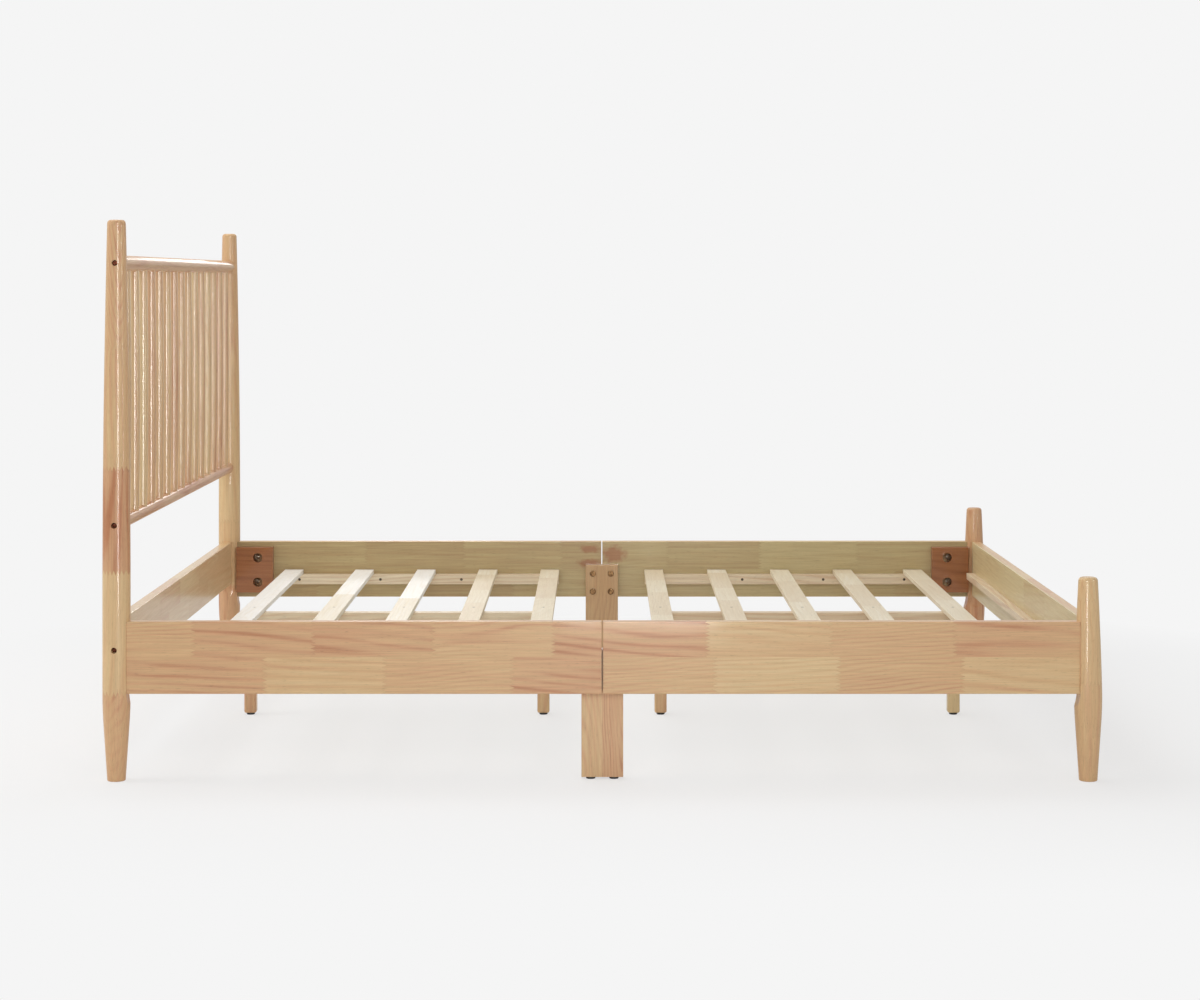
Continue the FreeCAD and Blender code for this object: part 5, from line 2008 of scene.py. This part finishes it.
@dataclass
class WoodScrews:
    """Flat-headed screws with cross recesses."""

    shop: Workshop
    head_radius: float = 4 * MM
    shank_radius: float = 2 * MM
    core_radius: float = 1.4 * MM
    plain_shank: float = 4 * MM
    tip: float = 5 * MM
    segments: int = 24
    thread_pitch: float = 1.8 * MM
    thread_rise: float = 0.4
    slot_width: float = 1.1 * MM
    slot_depth: float = 1.2 * MM
    sunk: float = 0.2 * MM
    lead: float = 0.5 * MM

    def screw(self, length: float) -> Mesh:
        """One screw whose head is at the origin and whose tip points along Z.

        Args:
            length: the screw's length.

        Returns:
            A closed mesh with its recess.
        """
        neck = self.head_radius - self.shank_radius + self.sunk
        outline: Outline = [
            (0.0, self.sunk), (self.head_radius - self.sunk, self.sunk), (self.shank_radius, neck),
            (self.shank_radius, neck + self.plain_shank),
        ]
        turns = int((length - self.tip - outline[-1][1]) / self.thread_pitch)
        for _ in range(turns):
            level = outline[-1][1] + self.thread_pitch
            outline.append((self.core_radius, level - self.thread_pitch * self.thread_rise))
            outline.append((self.shank_radius, level))
        outline.append((0.0, length))
        body = self.shop.turned(outline, self.shop.finishes.zinc, self.segments)
        recesses = []
        long, short = self.shank_radius, self.slot_width / 2
        for half_x, half_y in ((long, short), (short, long)):
            ways = ((-1, -1), (1, -1), (1, 1), (-1, 1))
            corners = [Vector((half_x * x, half_y * y, -MM)) for x, y in ways]
            recesses.append(prism(corners, upright(self.slot_depth + self.sunk + MM)))
        return carve(body, recesses)

    def countersink(self, place: Vector, way: Vector) -> Mesh:
        """The sunk seat of a screw's head at a place on the wood, with the way into it."""
        depth = self.head_radius - self.shank_radius + self.lead
        return drill(place - way * self.lead, way, self.head_radius + self.lead, depth, self.shank_radius)


@dataclass
class SlatDeck:
    """The ledgers, the beams, the slats and the screws that hold them."""

    shop: Workshop
    screws: WoodScrews
    slat_count: int = 10
    slat_arris: float = 1.5 * MM
    # The first tints shift the slats into the white stave, a painted reflection; the rest only vary the tone.
    slat_tints: tuple[float, ...] = (1.0, 0.58, 0.612, 0.208, 0.0, 0.125, 0.19, 0.03, 0.06, 0.015)
    ledger_arris: float = 1 * MM
    ledger_inner_end: float = 120 * MM
    ledger_tints: tuple[float, float] = (0.25, 0.65)
    foot_ledger_tint: float = 0.6
    beam_tints: tuple[float, float] = (0.3, 0.7)
    screw_margin: float = 46 * MM
    screws_in_ledger: int = 4
    ledger_screw_length: float = 38 * MM
    slat_screw_length: float = 28 * MM

    def ledger_screw_places(self, near: float, far: float) -> list[float]:
        """Where the screws of a ledger go, along the bed.

        Args:
            near: the ledger's end towards the middle.
            far: the ledger's other end.

        Returns:
            A distance along X for each screw.
        """
        way = 1 if far > near else -1
        first = near + way * self.screw_margin
        pitch = (far - near - 2 * way * self.screw_margin) / (self.screws_in_ledger - 1)
        return [first + pitch * index for index in range(self.screws_in_ledger)]

    def build_ledgers(self) -> None:
        """Makes the four side ledgers, the foot ledger and their screws."""
        finishes = self.shop.finishes
        screw_places = []
        for side in Side:
            node = f"ledgers_{side.word}"
            low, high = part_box(node)
            face = side.inner(low.y, high.y)
            level = (low.z + high.z) / 2
            outwards = Axis.Y.direction * -side.value
            halves = []
            for outer, inner, tint in zip(
                (low.x, high.x), (-self.ledger_inner_end, self.ledger_inner_end), self.ledger_tints
            ):
                start = Vector((min(outer, inner), low.y, low.z))
                end = Vector((max(outer, inner), high.y, high.z))
                spots = [Vector((x, face, level)) for x in self.ledger_screw_places(inner, outer)]
                half = self.shop.board(start, end, Axis.X, self.ledger_arris, finishes.ledger)
                half = carve(half, [self.screws.countersink(spot, outwards) for spot in spots])
                store_grain(half, Axis.X, (start + end) / 2, tint)
                halves.append(half)
                screw_places += [facing(spot, outwards) for spot in spots]
            finish_piece(f"screwed_{node}", joined(halves), finishes.ledger, [node])
        self.shop.finish_board(
            "glued_foot_ledger", "foot_ledger", Axis.Y, self.ledger_arris, finishes.ledger,
            self.foot_ledger_tint, "ledger_wood",
        )
        self.finish_screws("ledger_screws", self.ledger_screw_length, screw_places)

    def finish_screws(self, node: str, length: float, places: Sequence[Matrix]) -> None:
        """Makes the screws of one node, at their places."""
        made = (self.screws.screw(length), places, self.shop.finishes.dark_steel)
        self.shop.finish_copies(f"dark_{node}", *made, [node], "zinc_steel")

    def build_slats(self) -> None:
        """Makes the slats, their screws and the beams below them."""
        finishes = self.shop.finishes
        nodes = [f"slat_{number:02d}" for number in range(1, self.slat_count + 1)]
        low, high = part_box(nodes[0])
        half_size = (high - low) / 2
        slat = self.shop.board(-half_size, half_size, Axis.Y, self.slat_arris, finishes.slat)
        slat = carve(slat, [self.screws.countersink(upright(half_size.z), upright(-1))])
        store_grain(slat, Axis.Y, Vector((0, 0, 0)))
        line = [middle_of(node).x for node in nodes]
        level = (low.z + high.z) / 2
        places = [Matrix.Translation(Vector((x, 0.0, level))) for x in line]
        self.shop.finish_copies(
            "eased_slats", slat, places, finishes.slat, nodes, "slat_wood", self.slat_tints
        )
        places = [facing(Vector((x, 0.0, high.z)), upright(-1)) for x in line]
        self.finish_screws("slat_screws", self.slat_screw_length, places)
        for end, tint in zip(End, self.beam_tints):
            node = f"centre_beam_{end.word}"
            self.shop.finish_board(
                f"eased_{node}", node, Axis.X, self.ledger_arris, finishes.ledger, tint, "ledger_wood"
            )


# ---- planks, legs and pads


@dataclass
class Supports:
    """The centre planks, the centre legs and the pads that they stand on."""

    shop: Workshop
    plank_arris: float = 1.5 * MM
    near_plank_tint: float = 0.35
    far_plank_tint: float = 0.75
    leg_width: float = 30 * MM
    leg_round: float = 6 * MM
    leg_foot_round: float = 4 * MM
    leg_tints: tuple[float, ...] = (0.83, 0.6, 0.7, 0.0)
    pad_radius: float = 10 * MM
    pad_thickness: float = 5 * MM
    pad_round: float = 1.5 * MM
    pad_chamfer: float = 0.4 * MM
    pad_segments: int = 40
    plank_pad_reach: float = 25 * MM
    nail_radius: float = 1.5 * MM
    nail_length: float = 12 * MM

    def leg_places(self) -> list[Matrix]:
        """Where the legs stand, from the ends of the beams and the inner slats.

        Returns:
            A place for each leg, from the head to the foot.
        """
        low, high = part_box("centre_legs")
        half = self.leg_width / 2
        line = (low.x + half, middle_of("slat_05").x, middle_of("slat_06").x, high.x - half)
        return [Matrix.Translation(Vector((x, 0.0, 0.0))) for x in line]

    def pad_outline(self) -> Outline:
        """The outline of a floor pad with its nail.

        Returns:
            Radius and height of each point, from the floor to the nail's tip.
        """
        middle = (self.pad_radius - self.pad_round, self.pad_round)
        top = self.pad_thickness
        chamfer = self.pad_chamfer
        tip = top + self.nail_length
        return [
            (0.0, 0.0), *arc(middle, self.pad_round, -90, 0, 4),
            (self.pad_radius, top - chamfer), (self.pad_radius - chamfer, top), (self.nail_radius, top),
            (self.nail_radius, tip - MM), (0.0, tip),
        ]

    def build(self) -> None:
        """Makes the planks, the legs and the pads."""
        finishes = self.shop.finishes
        pad_places = []
        for side, wood, tint in (
            (Side.LEFT, finishes.near_plank, self.near_plank_tint),
            (Side.RIGHT, finishes.far_plank, self.far_plank_tint),
        ):
            node = f"centre_plank_{side.word}"
            name = f"eased_{node}"
            self.shop.finish_board(name, node, Axis.Z, self.plank_arris, wood, tint, "plank_wood")
            for across in (-self.plank_pad_reach, self.plank_pad_reach):
                pad_places.append(Matrix.Translation(Vector((across, middle_of(node).y, 0.0))))
        low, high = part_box("centre_legs")
        half = self.leg_width / 2
        leg = self.shop.board(
            Vector((-half, -half, low.z)), Vector((half, half, high.z)), Axis.Z,
            self.leg_round, finishes.leg, self.leg_foot_round,
        )
        store_grain(leg, Axis.Z, Vector((0, 0, 0)))
        places = self.leg_places()
        self.shop.finish_copies(
            "rounded_centre_legs", leg, places, finishes.leg, ["centre_legs"], "leg_wood", self.leg_tints
        )
        pad = self.shop.turned(self.pad_outline(), finishes.pad, self.pad_segments)
        places = pad_places + places
        self.shop.finish_copies(
            "moulded_floor_pads", pad, places, finishes.pad, ["floor_pads"], "pad_plastic"
        )


@dataclass
class HiddenFasteners:
    """Fasteners inside the wood: the frame's own solids, with their finishes."""

    frame: dict[str, Any]
    finishes: Finishes

    def build(self) -> None:
        """Gives each hidden node its finish."""
        kinds = {
            "threaded_inserts": self.finishes.insert_brass,
            "foot_rail_dowels": self.finishes.dowel,
            "leg_bolts": self.finishes.zinc,
        }
        for node, material in kinds.items():
            slots = self.frame["nodes"][node].material_slots
            for slot in slots:
                slot.material = material
            log.info("%s: the frame's own solids, %d finish", node, len(slots))


# ---- studio


@dataclass
class Lamp:
    """A soft rectangular lamp that looks at a point."""

    name: str
    place: Triple
    aim: Triple
    width: float
    height: float
    power: float
    lights: bool = True
    shines: bool = True

    def build(self) -> None:
        """Makes the lamp, hidden from the camera."""
        data = bpy.data.lights.new(self.name, "AREA")
        data.shape = "RECTANGLE"
        data.size = self.width
        data.size_y = self.height
        data.energy = self.power
        lamp = in_scene(data, self.name)
        lamp.location = self.place
        lamp.rotation_mode = "QUATERNION"
        way = Vector(self.aim) - Vector(self.place)
        lamp.rotation_quaternion = way.to_track_quat("-Z", "Y")
        lamp.visible_camera = False
        lamp.visible_diffuse = self.lights
        lamp.visible_glossy = self.shines


@dataclass
class Studio:
    """The pale floor, the light and the camera of the photograph."""

    image_width: int = 1200
    image_height: int = 1000
    focal_length_in_pixels: float = 2394.4
    horizon_row: float = 280.0
    sensor_width: float = 36.0
    eye: Triple = (-0.005, -5.933, 1.0755)
    backdrop: Colour = srgb(245, 245, 245)
    floor_colour: Colour = srgb(246, 246, 246)
    fill_colour: Colour = (1.0, 0.99, 0.98, 1.0)
    fill: float = 0.43
    floor_size: float = 60.0
    footprint: Triple = (1.1, 0.85, 0.0)
    floor_haze: float = 0.65
    near_floor: float = 0.1
    far_floor: float = 0.9
    middle_of_bed: Triple = (0.0, 0.0, 0.4)

    def build_camera(self) -> None:
        """Makes a level camera whose lens is shifted down onto the bed."""
        data = bpy.data.cameras.new("camera")
        data.sensor_width = self.sensor_width
        data.lens = self.sensor_width * self.focal_length_in_pixels / self.image_width
        data.shift_y = (self.horizon_row - self.image_height / 2) / self.image_width
        camera = in_scene(data, "camera")
        camera.location = self.eye
        camera.rotation_euler = (math.radians(90), 0.0, 0.0)
        bpy.context.scene.camera = camera

    def floor_material(self) -> Material:
        """A pale floor that fades into the backdrop away from the bed, as the camera sees it.

        Returns:
            The material.
        """
        material, wiring = empty_material("pale_floor")
        place = wiring.vector("ABSOLUTE", wiring.out("ShaderNodeTexCoord", "Object"))
        beyond = wiring.vector("MAXIMUM", wiring.vector("SUBTRACT", place, self.footprint), (0.0, 0.0, 0.0))
        away = wiring.minus(wiring.vector("LENGTH", beyond), self.near_floor)
        faded = wiring.over(away, self.far_floor - self.near_floor, clamp=True)
        faded = wiring.scaled(faded, 1 - self.floor_haze, self.floor_haze)
        share = wiring.times(faded, wiring.out("ShaderNodeLightPath", "Is Camera Ray"))
        lit = wiring.out("ShaderNodeBsdfDiffuse", 0, {"Color": self.floor_colour})
        plain = wiring.out("ShaderNodeEmission", 0, {"Color": self.backdrop, "Strength": 1.0})
        mixed = wiring.out("ShaderNodeMixShader", 0, {0: share, 1: lit, 2: plain})
        wiring.node("ShaderNodeOutputMaterial", {"Surface": mixed})
        return material

    def build_floor(self) -> None:
        """Makes the floor."""
        half = self.floor_size / 2
        corners = [(-half, -half, 0), (half, -half, 0), (half, half, 0), (-half, half, 0)]
        mesh = bpy.data.meshes.new("floor")
        mesh.from_pydata(corners, [], [(0, 1, 2, 3)])
        mesh.materials.append(self.floor_material())
        floor = in_scene(mesh, "floor")

    def build_world(self) -> None:
        """Makes the backdrop that the camera and glossy surfaces see, and a softer fill."""
        world = bpy.data.worlds.new("studio")
        bpy.context.scene.world = world
        world.use_nodes = True
        world.node_tree.nodes.clear()
        wiring = Wiring(world.node_tree)
        path = wiring.node("ShaderNodeLightPath")
        shiny = wiring.math("MAXIMUM", path.outputs["Is Glossy Ray"], path.outputs["Is Transmission Ray"])
        seen = wiring.math("MAXIMUM", path.outputs["Is Camera Ray"], shiny)
        fill = wiring.out("ShaderNodeBackground", 0, {"Color": self.fill_colour, "Strength": self.fill})
        backdrop = wiring.out("ShaderNodeBackground", 0, {"Color": self.backdrop, "Strength": 1.0})
        mixed = wiring.out("ShaderNodeMixShader", 0, {0: seen, 1: fill, 2: backdrop})
        wiring.node("ShaderNodeOutputWorld", {"Surface": mixed})

    def build(self) -> None:
        """Builds the whole studio."""
        bpy.context.scene.view_settings.view_transform = "Standard"
        self.build_world()
        self.build_floor()
        bed = self.middle_of_bed
        lamps = (
            Lamp("overhead", (-1.2, 0.6, 4.2), bed, 4.5, 3.5, 88.0),
            Lamp("left_panel", (-4.8, -0.6, 1.9), bed, 1.6, 2.6, 50.0, shines=False),
            Lamp("right_panel", (2.6, -5.6, 1.7), bed, 1.0, 2.4, 24.0, shines=False),
            Lamp("front_fill", (-0.6, -6.4, 3.2), bed, 3.0, 2.0, 74.0, shines=False),
            Lamp("bright_strip", (0.12, -3.3, 0.95), (-0.6, 0.0, 0.95), 0.5, 1.9, 92.0, lights=False),
            Lamp("side_strip", (3.6, -2.4, 1.2), (0.6, -0.5, 0.6), 0.3, 1.8, 40.0, lights=False),
            Lamp("rear_panel", (-0.9, 5.0, 1.85), (-1.0, 0.0, 1.1), 0.8, 0.7, 12.0, lights=False),
        )
        for lamp in lamps:
            lamp.build()
        self.build_camera()
        log.info("studio: floor, backdrop, %d lamps and the camera", len(lamps))


# ---- the bed


def main() -> None:
    """Builds the bed's sub-assemblies in order, then the studio."""
    logging.basicConfig(level=logging.INFO, format="%(message)s")
    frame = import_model()
    shop = Workshop(ShapeTrees.build(), Finishes.build())
    corners = [Corner(end, side) for end in End for side in Side]
    posts = Posts(shop, corners)
    headboard = Headboard(shop)
    boards = RailBoards(shop, corners)
    deck = SlatDeck(shop, WoodScrews(shop))
    posts.build()
    headboard.build_rails()
    headboard.build_spindles()
    boards.build()
    CornerJoints(shop, corners, boards).build()
    MachineBolts(shop, corners, posts).build()
    deck.build_ledgers()
    deck.build_slats()
    Supports(shop).build()
    HiddenFasteners(frame, shop.finishes).build()
    Studio().build()


if __name__ == "__main__":
    main()
